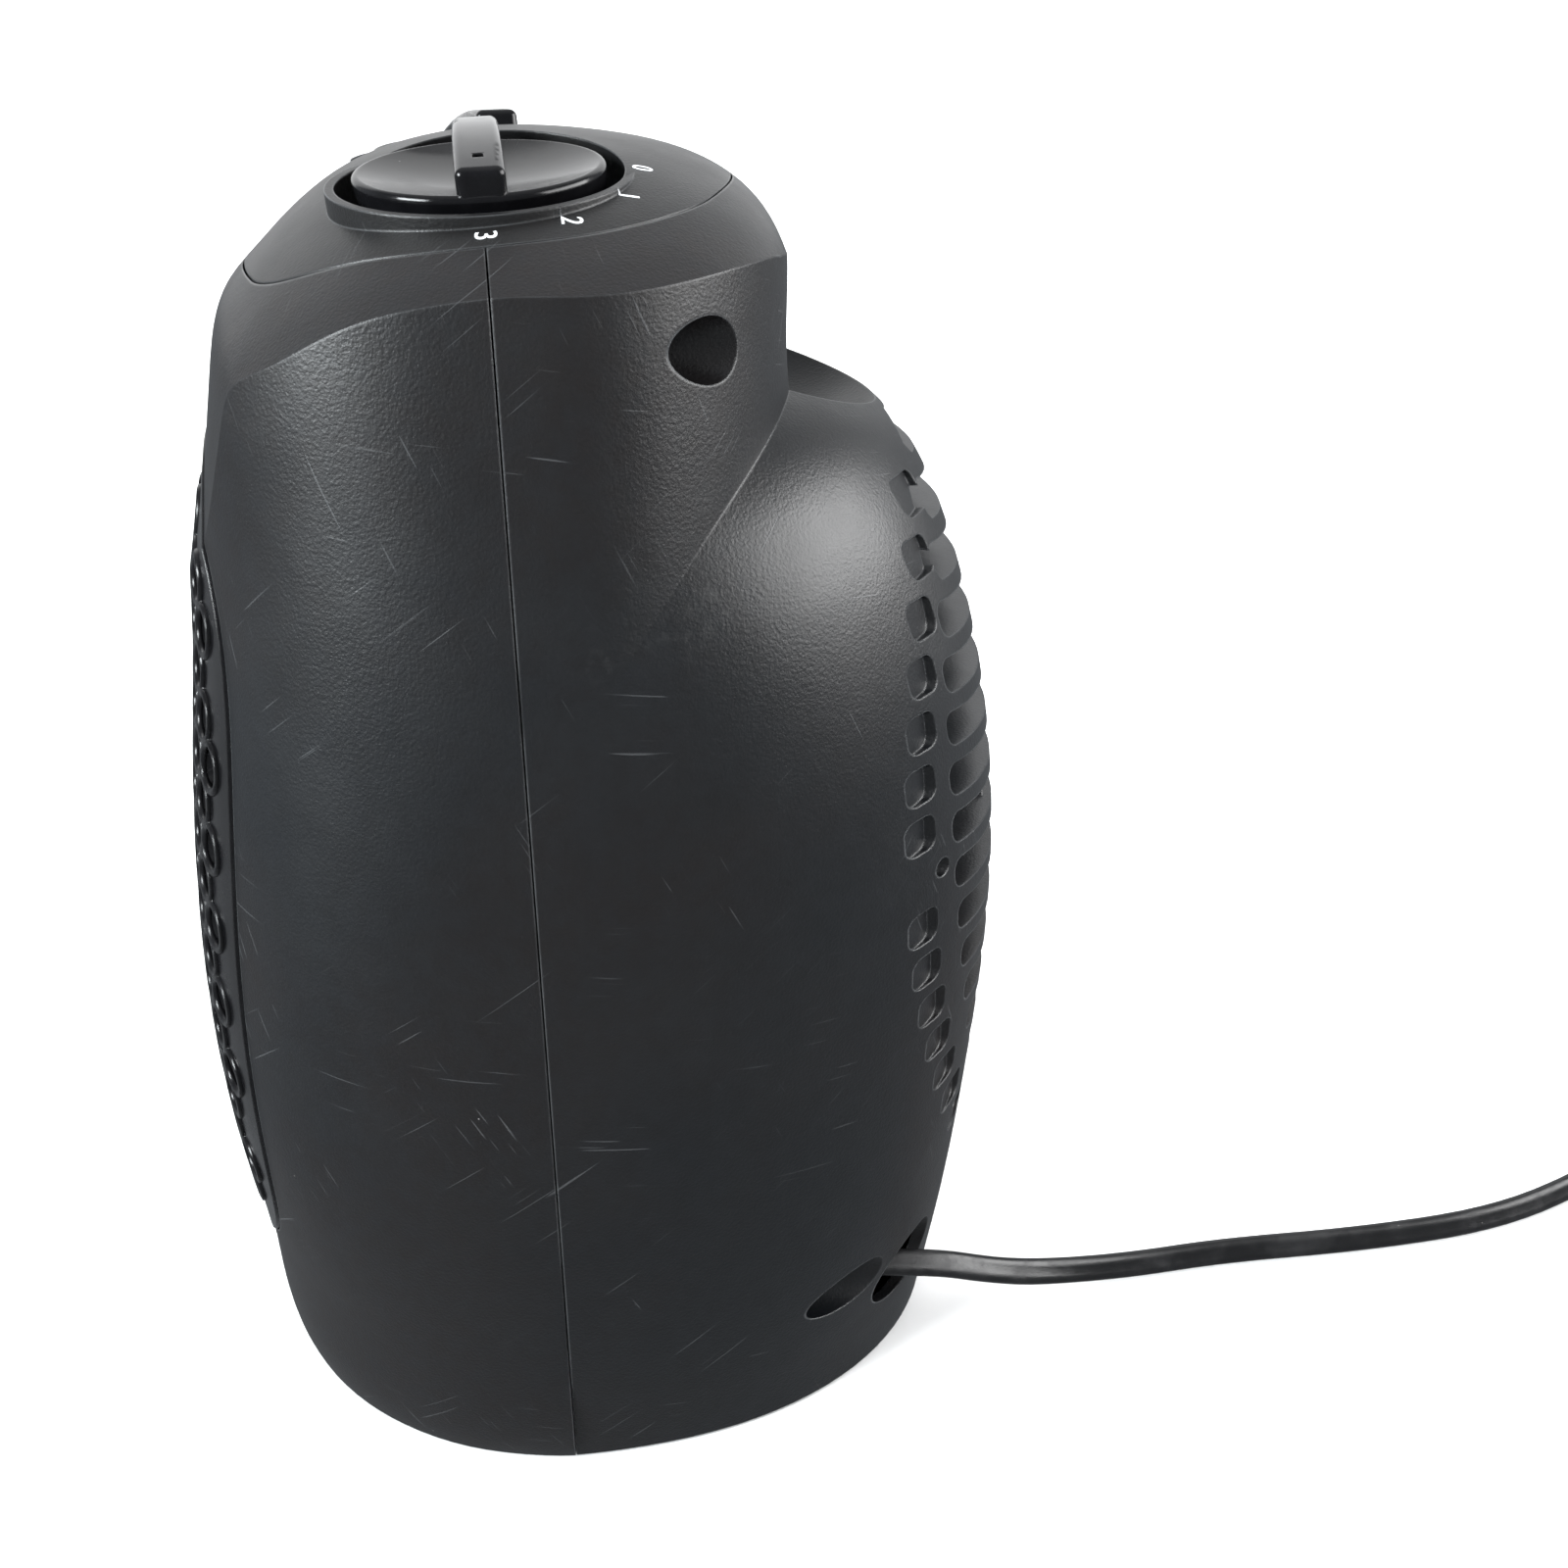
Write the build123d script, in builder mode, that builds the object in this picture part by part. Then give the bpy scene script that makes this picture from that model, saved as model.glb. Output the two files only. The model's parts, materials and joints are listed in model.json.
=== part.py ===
from build123d import *
import os
from math import cos, copysign, pi, sin, sqrt, tan

# Compact ceramic fan heater, millimetres, +Z up.
# The grille looks along -Y, the louvred air inlet along +Y and the control panel is on top.
# The origin is the centre of the body's footprint box, on the surface that the feet stand on.

# ---------------------------------------------------------------- driving dimensions
seam_y = -17.15             # parting plane of the two housing halves
centre_y = 8.0              # widest line of the body, behind the seam
foot_height = 1.0           # rubber feet lift the housing by this much
wall = 2.5                  # moulded wall thickness
top_wall = 5.0              # thicker crown that carries the controls
seam_gap = 0.3
crown_radius = 150.0        # the top is arched this much from side to side
crown_height = 259.9

fan_z = 127.0               # axis of the fan, the motor and the round louvre field
louvre_pitch = 10.0
louvre_count = 15

knob_x = 34.0               # the two knobs sit side by side
knob_z = 255.0              # centre of a knob's rim
knob_tilt = 8.5             # degrees, each knob leans outwards
knob_lean = 2.6             # degrees, and a little forwards
shaft_radius = 3.0
knob_bore_gap = 0.02

screw_radius = 1.5
access_radius = 5.4         # screwdriver bores in the rear housing
screw_places = ((67.0, 229.0), (66.5, 33.0))

# body stations: height, half width, front reach, front power, rear reach, rear power
front_stations = (
    (0, 71.3, 71.0, 2.0, 50, 2.2),
    (30, 78.8, 73.4, 2.15, 50, 2.2),
    (65, 83.8, 75.2, 2.4, 50, 2.2),
    (100, 85.6, 75.8, 2.5, 50, 2.2),
    (130, 85.4, 73.7, 2.5, 50, 2.2),
    (150, 84.9, 71.2, 2.5, 50, 2.2),
    (175, 83.0, 67.6, 2.5, 50, 2.2),
    (205, 79.6, 65.5, 2.5, 50, 2.2),
    (240, 76.0, 63.0, 2.5, 50, 2.2),
    (268, 73.0, 60.0, 2.5, 50, 2.2),
)
dome_stations = (
    (0, 71.3, 71.0, 2.0, 82.0, 2.3),
    (30, 78.8, 73.4, 2.15, 87.2, 2.2),
    (65, 83.8, 75.2, 2.4, 91.6, 2.15),
    (100, 85.6, 75.8, 2.5, 94.6, 2.1),
    (130, 85.4, 73.7, 2.5, 93.8, 2.1),
    (155, 84.6, 70.7, 2.5, 90.2, 2.1),
    (175, 82.6, 65.0, 2.5, 85.2, 2.1),
    (190, 79.0, 59.0, 2.5, 80.0, 2.1),
    (203, 72.5, 52.0, 2.4, 73.0, 2.1),
    (213, 61.0, 44.0, 2.2, 62.0, 2.1),
    (219, 42.0, 35.0, 2.0, 46.0, 2.0),
    (222, 20.0, 20.0, 2.0, 25.0, 2.0),
)
neck_stations = (
    (145, 84.0, 71.2, 2.5, 51.5, 2.1),
    (175, 82.8, 67.6, 2.5, 50.5, 2.1),
    (205, 79.6, 65.5, 2.5, 49.0, 2.15),
    (240, 76.0, 63.0, 2.5, 48.0, 2.2),
    (268, 73.0, 60.0, 2.5, 46.5, 2.2),
)
dome_shoulder = 110.0       # above this height an inner dome is also lowered
dome_top = 222.0

# finger recess behind the neck
scoop_y = 57.0
scoop_z = 223.0
scoop_radii = (37.0, 26.0, 20.0)

# centre line of the crown in the side view: front line, brow, arched top and rear shoulder
crown_profile = (
    (-70, 150), (-62.5, 172), (-55.4, 200), (-50.4, 225), (-47.6, 233.5), (-42.4, 239.3),
    (-36, 245.3), (-25, 253.1), (-10, 258.2), (6, crown_height), (21, 259.1), (34, 256.9),
    (45, 252.6), (52, 246.6), (56, 238.5), (59, 228), (63, 205), (68, 150),
)
crown_centre = (3.0, 170.0)


# ---------------------------------------------------------------- planes and outlines
def level(z):
    """Horizontal plane whose origin is on the seam plane."""
    return Plane(origin=(0, seam_y, z))


def side(x):
    """Side-view plane: local x runs to the rear from the seam, local y runs up."""
    return Plane(origin=(x, seam_y, 0), x_dir=(0, 1, 0), z_dir=(1, 0, 0))


def facing_rear(y):
    """Plane across the body at y behind the seam; local x is -X, it extrudes to the rear."""
    return Plane(origin=(0, seam_y + y, 0), x_dir=(-1, 0, 0), z_dir=(0, 1, 0))


def facing_front(y):
    """Plane across the body at y behind the seam; local x is +X, it extrudes to the front."""
    return Plane(origin=(0, seam_y + y, 0), x_dir=(1, 0, 0), z_dir=(0, -1, 0))


def oval_points(half_width, half_height, power, count=24):
    """Points of a superellipse about the origin."""
    points = []
    for k in range(count):
        c = cos(2 * pi * k / count)
        s = sin(2 * pi * k / count)
        x = half_width * copysign(abs(c) ** (2 / power), c)
        points.append((x, half_height * copysign(abs(s) ** (2 / power), s)))
    return points


def plan_points(station, inset, count=32):
    """Egg-shaped plan outline of the body at one station."""
    height, half_width, front, front_power, rear, rear_power = station
    points = []
    for k in range(count):
        c = cos(2 * pi * k / count)
        s = sin(2 * pi * k / count)
        power = rear_power if s >= 0 else front_power
        reach = (rear if s >= 0 else front) - inset
        x = (half_width - inset) * copysign(abs(c) ** (2 / power), c)
        points.append((x, centre_y + reach * copysign(abs(s) ** (2 / power), s)))
    return points


def outline_parameters(points):
    """Chord-length parameters of a closed outline, from 0 to 1."""
    lengths = [0.0]
    for (x, y), (x_next, y_next) in zip(points, points[1:] + points[:1]):
        lengths.append(lengths[-1] + sqrt((x_next - x) ** 2 + (y_next - y) ** 2))
    return [length / lengths[-1] for length in lengths]


# ---------------------------------------------------------------- body volumes
def lofted_body(stations, inset, lowering=0.0):
    """Loft of the plan outlines; an inner dome is lowered by up to `lowering` at its top."""
    shared = outline_parameters(plan_points(stations[len(stations) // 2], inset))
    with BuildPart() as body:
        for station in stations:
            outline = plan_points(station, inset)
            rise = max(0.0, station[0] - dome_shoulder) / (dome_top - dome_shoulder)
            with BuildSketch(level(station[0] - lowering * rise**2)):
                with BuildLine():
                    add(Edge.make_spline(outline, periodic=True, parameters=shared))
                make_face()
        loft()
    return body.part


def crown_body(inset):
    """Everything below the arched crown: the side profile, scaled down towards both sides."""
    with BuildPart() as crown:
        for x in (-92, -60, -30, 0, 30, 60, 92):
            drop = crown_radius - sqrt(crown_radius**2 - x**2) + inset
            factor = 1 - drop / (crown_height - crown_centre[1])
            points = []
            for y, z in crown_profile:
                y_scaled = crown_centre[0] + (y - crown_centre[0]) * factor
                z_scaled = crown_centre[1] + (z - crown_centre[1]) * factor
                points.append((y_scaled, z_scaled))
            with BuildSketch(side(x)):
                with BuildLine():
                    Spline(*points)
                    Polyline(points[-1], (points[-1][0], -5), (points[0][0], -5), points[0])
                make_face()
        loft()
    return crown.part


def front_volume(inset, crown_inset):
    with BuildPart() as volume:
        add(lofted_body(front_stations, inset))
        add(crown_body(crown_inset), mode=Mode.INTERSECT)
    return volume.part


def finger_scoop(growth):
    """Finger recess in the dome behind the neck, under the rear edge of the crown."""
    radii = tuple(radius + growth for radius in scoop_radii)
    with BuildPart() as scoop:
        ellipsoid = scale(Sphere(1, mode=Mode.PRIVATE), by=radii, mode=Mode.PRIVATE)
        add(Pos(0, seam_y + scoop_y, scoop_z) * ellipsoid)
    return scoop.part


def slab(y_from, y_to, z_from=-10.0, z_to=300.0, half_width=150.0):
    """Block across the whole body between two distances behind the seam."""
    with BuildPart() as block:
        with BuildSketch(level(z_from)):
            with Locations((0, (y_from + y_to) / 2)):
                Rectangle(2 * half_width, y_to - y_from)
        extrude(amount=z_to - z_from)
    return block.part


def oval_prism(half_width, half_height, y_from, y_to, power=2.0, z=fan_z):
    with BuildPart() as prism:
        with BuildSketch(facing_rear(y_from)):
            with BuildLine():
                Spline(*[(x, z + h) for x, h in oval_points(half_width, half_height, power)],
                       periodic=True)
            make_face()
        extrude(amount=y_to - y_from)
    return prism.part


def bore(x, z, radius, y_from, y_to):
    """Round bar along Y, used for bores, bosses and screws."""
    with BuildPart() as bar:
        with BuildSketch(facing_rear(y_from)):
            with Locations((-x, z)):
                Circle(radius)
        extrude(amount=y_to - y_from)
    return bar.part


def tilted_plane(x, depth=0.0, turn=0.0):
    """Plane across a knob's axis; positive depth is below the rim, turn is about the axis."""
    lean_out = copysign(knob_tilt, x)
    frame = Plane(origin=(x, seam_y, knob_z)).rotated((knob_lean, lean_out, turn))
    return frame.offset(-depth)


# ---------------------------------------------------------------- shared volumes
front_outer = front_volume(0, 0)
front_inner = front_volume(wall, top_wall)
scoop_lining = finger_scoop(wall)
front_reach = slab(-120, -seam_gap / 2, foot_height)
rear_reach = slab(seam_gap / 2, 150, foot_height)
front_hollow = slab(-120, 5, foot_height + wall)
rear_hollow = slab(-5, 150, foot_height + wall)
neck_outer = lofted_body(neck_stations, 0) & crown_body(0)
dome_outer = lofted_body(dome_stations, 0)
rear_outer = ((neck_outer + dome_outer) - finger_scoop(0)) & rear_reach
neck_inner = (lofted_body(neck_stations, wall) & crown_body(top_wall) & rear_hollow) - scoop_lining
dome_inner = (lofted_body(dome_stations, wall, wall) & rear_hollow) - scoop_lining

# control panel outline, seen from above with the seam at y = 0
panel_front = -43.5
panel_rear = 46.5
panel_corner = (32.0, -39.5)
panel_waist = (64.0, 2.0)
panel_shoulder = (41.0, 37.5)
panel_thickness = 2.6
panel_gap = 0.35


def panel_prism(growth):
    """Vertical prism through the crown with the outline of the control panel."""
    with BuildPart() as prism:
        with BuildSketch(level(180)) as outline:
            with BuildLine():
                for hand in (1, -1):
                    waist = (hand * panel_waist[0], panel_waist[1])
                    corner = (hand * panel_corner[0], panel_corner[1])
                    shoulder = (hand * panel_shoulder[0], panel_shoulder[1])
                    ThreePointArc(corner, waist, shoulder)
                left_corner = (-panel_corner[0], panel_corner[1])
                left_shoulder = (-panel_shoulder[0], panel_shoulder[1])
                ThreePointArc(left_corner, (0, panel_front), panel_corner)
                ThreePointArc(left_shoulder, (0, panel_rear), panel_shoulder)
            make_face()
            fillet(outline.vertices().group_by(Axis.Y)[0], 6)
            fillet(outline.vertices().group_by(Axis.Y)[-1], 18)
            offset(amount=growth)
        extrude(amount=120)
    return prism.part


# ---------------------------------------------------------------- knob wells and panel
well_radius = 24.3
well_wall = 1.6
well_depth = 8.2
well_rim = 1.9              # depth of the well's collar below the knob's rim


def knob_cylinder(x, radius, depth_from, depth_to):
    """Cylinder along a knob's axis between two depths below the rim."""
    with BuildPart() as cylinder:
        with BuildSketch(tilted_plane(x, depth_to)):
            Circle(radius)
        extrude(amount=depth_to - depth_from)
    return cylinder.part


panel_underside = crown_body(panel_thickness)

with BuildPart() as control_panel:
    add(crown_body(0))
    add(panel_underside, mode=Mode.SUBTRACT)
    add(panel_prism(0), mode=Mode.INTERSECT)
    add(slab(-60, 60, 200), mode=Mode.INTERSECT)
    for x in (-knob_x, knob_x):
        add(knob_cylinder(x, well_radius + well_wall, well_rim, well_depth + well_wall))
    for x in (-knob_x, knob_x):
        add(knob_cylinder(x, well_radius, -12, well_depth), mode=Mode.SUBTRACT)
        add(knob_cylinder(x, shaft_radius + 0.6, 0, 20), mode=Mode.SUBTRACT)
control_panel.part.label = "control_panel"


# ---------------------------------------------------------------- front housing
grille_half_width = 57.0
grille_half_height = 88.0
grille_z = 122.0
grille_power = 3.2
grille_gap = 0.4

well_clearance = well_radius + well_wall + 0.5
boss_radius = 7.4
pilot_radius = 1.3
rib_levels = (97.0, 155.0)  # ribs at both sides that hold the heating element's frame
rib_y = (-30.0, -12.0)
rib_thickness = 2.0
duct_half_width = 64.0

panel_pocket = panel_prism(panel_gap) - crown_body(panel_thickness + 0.1)
well_holes = [knob_cylinder(x, well_clearance, -12, well_depth + 6) for x in (-knob_x, knob_x)]
grille_opening = oval_prism(grille_half_width, grille_half_height, -100, -24, grille_power, grille_z)

front_skin = front_volume(wall / 2, wall)

with BuildPart() as front_housing:
    add(front_outer & front_reach)
    add(front_inner & front_hollow, mode=Mode.SUBTRACT)
    for x, z in screw_places:
        for hand in (1, -1):
            add(bore(hand * x, z, 4.0, -30, -seam_gap / 2) & front_skin)
    for z in rib_levels:
        add((slab(*rib_y, z, z + rib_thickness) & front_skin)
            - slab(-40, 10, z - 1, z + rib_thickness + 1, duct_half_width + 0.2))
    add(panel_pocket, mode=Mode.SUBTRACT)
    for hole in well_holes:
        add(hole, mode=Mode.SUBTRACT)
    add(grille_opening, mode=Mode.SUBTRACT)
    for x, z in screw_places:
        for hand in (1, -1):
            add(bore(hand * x, z, pilot_radius, -24, 0), mode=Mode.SUBTRACT)
front_housing.part.label = "front_housing"

# ---------------------------------------------------------------- rear housing
ring_half_width = 60.0
ring_half_height = 83.0
ring_band = 5.0
louvre_depth = 8.0
slot_height = 6.6
pocket_reach = 6.5          # the pockets end this far outside the ring at its sides
pocket_rise = 9.5           # and their outline is this much taller than the ring
pocket_height = 7.2
pocket_corner = 2.2
pocket_flare = 6.0          # the pockets get deeper towards the louvres
pocket_step = 0.4           # and are this deep at their outer ends
access_floor_y = 8.0
post_x = 24.0               # posts that carry the motor's rear bracket
post_radius = 3.5
post_end = 96.0
lug_x = 58.2                # screw lugs on both sides of the louvre ring
lug_radius = 3.5
lug_start = 66.0
rear_bracket_y = (76.0, 78.0)
cord_hole_x = 52.0
cord_hole_z = 26.0
cord_hole_radius = 8.5
clamp_y = 46.5              # wall inside the housing that holds the cord's strain relief
clamp_z = 28.8
clamp_thickness = 2.5
clamp_hole = 6.6

slot_levels = [louvre_pitch * (k - (louvre_count - 1) / 2) for k in range(louvre_count)]
louvre_power = 2.1
louvre_start = 40.0
louvre_end = 112.0
louvre_drop = 16.0          # the louvre blades fall this much from louvre_start to louvre_end
louvre_oval = oval_prism(ring_half_width, ring_half_height, 30, louvre_end, louvre_power)
louvre_field = louvre_oval - scoop_lining   # the wall of the finger recess runs through it


def oval_reach(half_width, half_height, level):
    """Half width of a louvre oval at a height above the fan axis."""
    return half_width * (1 - (abs(level) / half_height) ** louvre_power) ** (1 / louvre_power)


def pocket_floor(station):
    """Outline that meets the dome near the pockets' outer ends and lies deeper at their inner ends."""
    height, half_width, front, front_power, rear, rear_power = station
    level = min(abs(height - fan_z), ring_half_height)
    edge = oval_reach(ring_half_width + pocket_reach, ring_half_height + pocket_rise, level)
    surface = rear * (1 - (edge / half_width) ** rear_power) ** (1 / rear_power) - pocket_step
    flared = half_width + pocket_flare
    rear_floor = surface / (1 - (edge / flared) ** rear_power) ** (1 / rear_power)
    return height, flared, front, front_power, rear_floor, rear_power


with BuildPart() as louvre_slots:
    with BuildSketch(facing_rear(louvre_end)):
        for level_z in slot_levels:
            reach = oval_reach(ring_half_width - ring_band, ring_half_height - ring_band, level_z)
            with Locations((0, fan_z + level_z)):
                RectangleRounded(2 * reach, slot_height, slot_height * 0.4)
    extrude(amount=sqrt((louvre_end - louvre_start) ** 2 + louvre_drop**2),
            dir=(0, louvre_start - louvre_end, louvre_drop))

with BuildPart() as pocket_bars:
    with BuildSketch(facing_rear(45)):
        for level_z in slot_levels:
            inner = oval_reach(ring_half_width, ring_half_height, level_z)
            outer = oval_reach(ring_half_width + pocket_reach,
                               ring_half_height + pocket_rise, level_z)
            for hand in (1, -1):
                with Locations((hand * (inner + outer) / 2, fan_z + level_z)):
                    RectangleRounded(outer - inner, pocket_height, pocket_corner)
    extrude(amount=louvre_end - 45)

louvre_panel = (louvre_field & dome_outer) - lofted_body(dome_stations, louvre_depth, louvre_depth)
louvre_panel = louvre_panel - louvre_slots.part
pockets = pocket_bars.part - lofted_body([pocket_floor(place) for place in dome_stations[:-2]], 0)

with BuildPart() as clamp_plate:
    with BuildSketch(facing_rear(clamp_y)):
        with Locations((-cord_hole_x, cord_hole_z - 5)):
            Rectangle(19, 40)
    extrude(amount=clamp_thickness)

neck_skin = lofted_body(neck_stations, wall / 2) & crown_body(wall)
dome_skin = lofted_body(dome_stations, wall / 2, wall / 2)

with BuildPart() as rear_housing:
    add(rear_outer)
    add(neck_inner, mode=Mode.SUBTRACT)
    add(dome_inner, mode=Mode.SUBTRACT)
    for hand in (1, -1):
        add(bore(hand * screw_places[0][0], screw_places[0][1], boss_radius, seam_gap / 2, 80)
            & neck_skin)
        add(bore(hand * screw_places[1][0], screw_places[1][1], boss_radius, seam_gap / 2, 90)
            & dome_skin)
    add(panel_pocket, mode=Mode.SUBTRACT)
    for hole in well_holes:
        add(hole, mode=Mode.SUBTRACT)
    for x, z in screw_places:
        for hand in (1, -1):
            add(bore(hand * x, z, access_radius, access_floor_y, 90), mode=Mode.SUBTRACT)
            add(bore(hand * x, z, screw_radius + 0.2, -1, 90), mode=Mode.SUBTRACT)
    add(bore(cord_hole_x, cord_hole_z, cord_hole_radius, 52, 100), mode=Mode.SUBTRACT)
    add(clamp_plate.part & dome_skin & rear_hollow)
    add(bore(cord_hole_x, clamp_z, clamp_hole, 45, 50), mode=Mode.SUBTRACT)
    add(louvre_field, mode=Mode.SUBTRACT)
    add(louvre_panel)
    for hand in (1, -1):
        add(bore(hand * post_x, fan_z - 1.2, post_radius, rear_bracket_y[1], post_end))
        add(bore(hand * lug_x, fan_z + 0.6, lug_radius, lug_start, louvre_end) & dome_outer)
        add(bore(hand * lug_x, fan_z + 0.6, screw_radius + 0.4, lug_start, louvre_end),
            mode=Mode.SUBTRACT)
    add(pockets, mode=Mode.SUBTRACT)
rear_housing.part.label = "rear_housing"

# ---------------------------------------------------------------- front grille
mesh_pitch = 9.4
mesh_hole = 3.9             # radius of a mesh hole
mesh_rim = 4.0


def mesh_holes():
    """Staggered holes that fill the grille inside its rim."""
    row_height = mesh_pitch * sqrt(3) / 2
    rows = int(grille_half_height / row_height)
    limit_x = grille_half_width - mesh_rim - mesh_hole
    limit_z = grille_half_height - mesh_rim - mesh_hole
    places = []
    for row in range(-rows, rows + 1):
        z = row * row_height
        shift = mesh_pitch / 2 if row % 2 else 0.0
        for column in range(-8, 9):
            x = column * mesh_pitch + shift
            if abs(x / limit_x) ** grille_power + abs(z / limit_z) ** grille_power < 1:
                places.append((x, grille_z + z))
    return places


def grille_prism(growth):
    return oval_prism(grille_half_width + growth, grille_half_height + growth, -100, -24,
                      grille_power, grille_z)


with BuildPart() as hole_bars:
    with BuildSketch(facing_front(-30)):
        with Locations(*mesh_holes()):
            Circle(mesh_hole)
    extrude(amount=60)

with BuildPart() as front_grille:
    add(front_volume(-0.5, -0.5) & grille_prism(-grille_gap))
    add(front_volume(1.7, 1.7), mode=Mode.SUBTRACT)
    add((front_volume(1.0, 1.0) & grille_prism(-grille_gap)) - front_volume(wall + 2, wall + 2)
        - grille_prism(-grille_gap - 2.0))
    add(hole_bars.part, mode=Mode.SUBTRACT)
front_grille.part.label = "front_grille"

# ---------------------------------------------------------------- knobs and their shafts
knob_height = 6.6
dish_depth = 3.0
grip_width = 8.0
grip_half_length = 20.9
grip_crest = 5.7
grip_end = 3.9
control_turn = 0.0
thermostat_turn = 192.5     # its pointer looks away from the other knob
shaft_top = 1.8             # depths below the rim, along the knob's axis
shaft_flat = 2.4
cup_floor = well_depth + well_wall


def shaft_bar(x, turn, growth, depth_from, depth_to):
    """D-shaped bar along a knob's axis between two depths below the rim."""
    with BuildPart() as bar:
        with BuildSketch(tilted_plane(x, depth_to, turn)):
            Circle(shaft_radius + growth)
            with Locations((0, shaft_flat + growth + 2)):
                Rectangle(10, 4, mode=Mode.SUBTRACT)
        extrude(amount=depth_to - depth_from)
    return bar.part


def knob(x, turn):
    """Dished disc with a bar grip right across it; the grip points along the local x axis."""
    frame = tilted_plane(x, turn=turn)
    section = Plane(origin=frame.origin, x_dir=frame.x_dir, z_dir=-frame.y_dir)
    with BuildPart() as body:
        with BuildSketch(section):
            with BuildLine():
                Polyline((0, -dish_depth), (0, -knob_height), (20.4, -knob_height), (21.3, -1.2))
                ThreePointArc((21.3, -1.2), (21.0, -0.3), (20.2, 0))
                ThreePointArc((20.2, 0), (11.5, -2.0), (0, -dish_depth))
            make_face()
        revolve(axis=Axis(frame.origin, frame.z_dir))
        with BuildSketch(section.offset(-grip_width / 2)):
            with BuildLine():
                ThreePointArc((-grip_half_length, grip_end), (0, grip_crest),
                              (grip_half_length, grip_end))
                Polyline((grip_half_length, grip_end), (grip_half_length, -4),
                         (-grip_half_length, -4), (-grip_half_length, grip_end))
            make_face()
        grip = extrude(amount=grip_width, mode=Mode.PRIVATE)
        rounded = [edge for edge in grip.edges()
                   if frame.to_local_coords(edge @ 0.5).Z > -3.5]
        add(grip.fillet(1.4, rounded))
        with BuildSketch(frame.offset(grip_crest)):
            with Locations((grip_half_length - 6, 0)):
                Rectangle(1.8, 1.8)
        extrude(amount=-2.4, mode=Mode.SUBTRACT)
        add(shaft_bar(x, turn, knob_bore_gap, shaft_top, knob_height + 1), mode=Mode.SUBTRACT)
    return body.part


with BuildPart() as control_knob:
    add(knob(knob_x, control_turn))
control_knob.part.label = "control_knob"

with BuildPart() as thermostat_knob:
    add(knob(-knob_x, thermostat_turn))
thermostat_knob.part.label = "thermostat_knob"

switch_depth = 26.0
switch_side = 27.0
shaft_reach = 20.0
running_gap = 0.06

with BuildPart() as selector_shaft:
    add(shaft_bar(knob_x, control_turn, 0, shaft_top + 0.05, shaft_reach))
selector_shaft.part.label = "selector_shaft"

with BuildPart() as thermostat_shaft:
    add(shaft_bar(-knob_x, thermostat_turn, 0, shaft_top + 0.05, shaft_reach))
thermostat_shaft.part.label = "thermostat_shaft"

with BuildPart() as selector_switch:
    with BuildSketch(tilted_plane(knob_x, switch_depth)):
        RectangleRounded(switch_side, switch_side, 2)
    extrude(amount=switch_depth - cup_floor)
    with BuildSketch(tilted_plane(knob_x, shaft_reach + 0.3)):
        Circle(shaft_radius + running_gap)
    extrude(amount=20, mode=Mode.SUBTRACT)
selector_switch.part.label = "selector_switch"

with BuildPart() as switch_terminals:
    with BuildSketch(tilted_plane(knob_x, switch_depth + 8)):
        with PolarLocations(8.5, 4):
            Rectangle(0.8, 6.3)
    extrude(amount=8)
switch_terminals.part.label = "switch_terminals"

with BuildPart() as thermostat_body:
    with BuildSketch(tilted_plane(-knob_x, switch_depth - 4)):
        RectangleRounded(20, 24, 2)
    extrude(amount=switch_depth - 4 - cup_floor)
    with BuildSketch(tilted_plane(-knob_x, shaft_reach + 0.3)):
        Circle(shaft_radius + running_gap)
    extrude(amount=20, mode=Mode.SUBTRACT)
thermostat_body.part.label = "thermostat_body"

with BuildPart() as thermostat_blade:
    with BuildSketch(tilted_plane(-knob_x, switch_depth - 3)):
        RectangleRounded(9, 44, 1)
    extrude(amount=1)
thermostat_blade.part.label = "thermostat_blade"

# ---------------------------------------------------------------- heating element
duct_half_height = 58.0
window_half_width = 54.0
element_y = (-34.0, -8.2)
core_y = (-31.0, -13.0)
bank_height = 20.0
stone_height = 2.6
stone_length = 24.0
stone_count = 4
fin_pitch = 4.0
fin_thickness = 0.7
rail_thickness = 1.0
bank_count = 3
core_height = bank_count * bank_height + (bank_count - 1) * stone_height
core_base = fan_z - core_height / 2

with BuildPart() as element_frame:
    with BuildSketch(facing_rear(element_y[0])):
        with Locations((0, fan_z)):
            RectangleRounded(2 * duct_half_width, 2 * duct_half_height, 6)
            Rectangle(2 * window_half_width, core_height, mode=Mode.SUBTRACT)
    extrude(amount=element_y[1] - element_y[0])
    with BuildSketch(facing_rear(core_y[1])):
        with Locations((0, fan_z)):
            Rectangle(2 * window_half_width - 4, core_height + 20)
    extrude(amount=20, mode=Mode.SUBTRACT)
element_frame.part.label = "element_frame"

with BuildPart() as heating_fins:
    with BuildSketch(facing_rear(core_y[0])):
        for bank in range(bank_count):
            base = core_base + bank * (bank_height + stone_height)
            middle = base + bank_height / 2
            with Locations((0, base + rail_thickness / 2),
                           (0, base + bank_height - rail_thickness / 2)):
                Rectangle(2 * window_half_width - 0.4, rail_thickness)
            with Locations((0, middle)):
                with GridLocations(fin_pitch, 1, 26, 1):
                    Rectangle(fin_thickness, bank_height - rail_thickness)
    extrude(amount=core_y[1] - core_y[0])
heating_fins.part.label = "heating_fins"

with BuildPart() as ceramic_stones:
    with BuildSketch(facing_rear(core_y[0])):
        for row in range(bank_count - 1):
            z = core_base + bank_height + stone_height / 2
            with Locations((0, z + row * (bank_height + stone_height))):
                with GridLocations(stone_length + 1.6, 1, stone_count, 1):
                    Rectangle(stone_length, stone_height)
    extrude(amount=core_y[1] - core_y[0])
ceramic_stones.part.label = "ceramic_stones"

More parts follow.
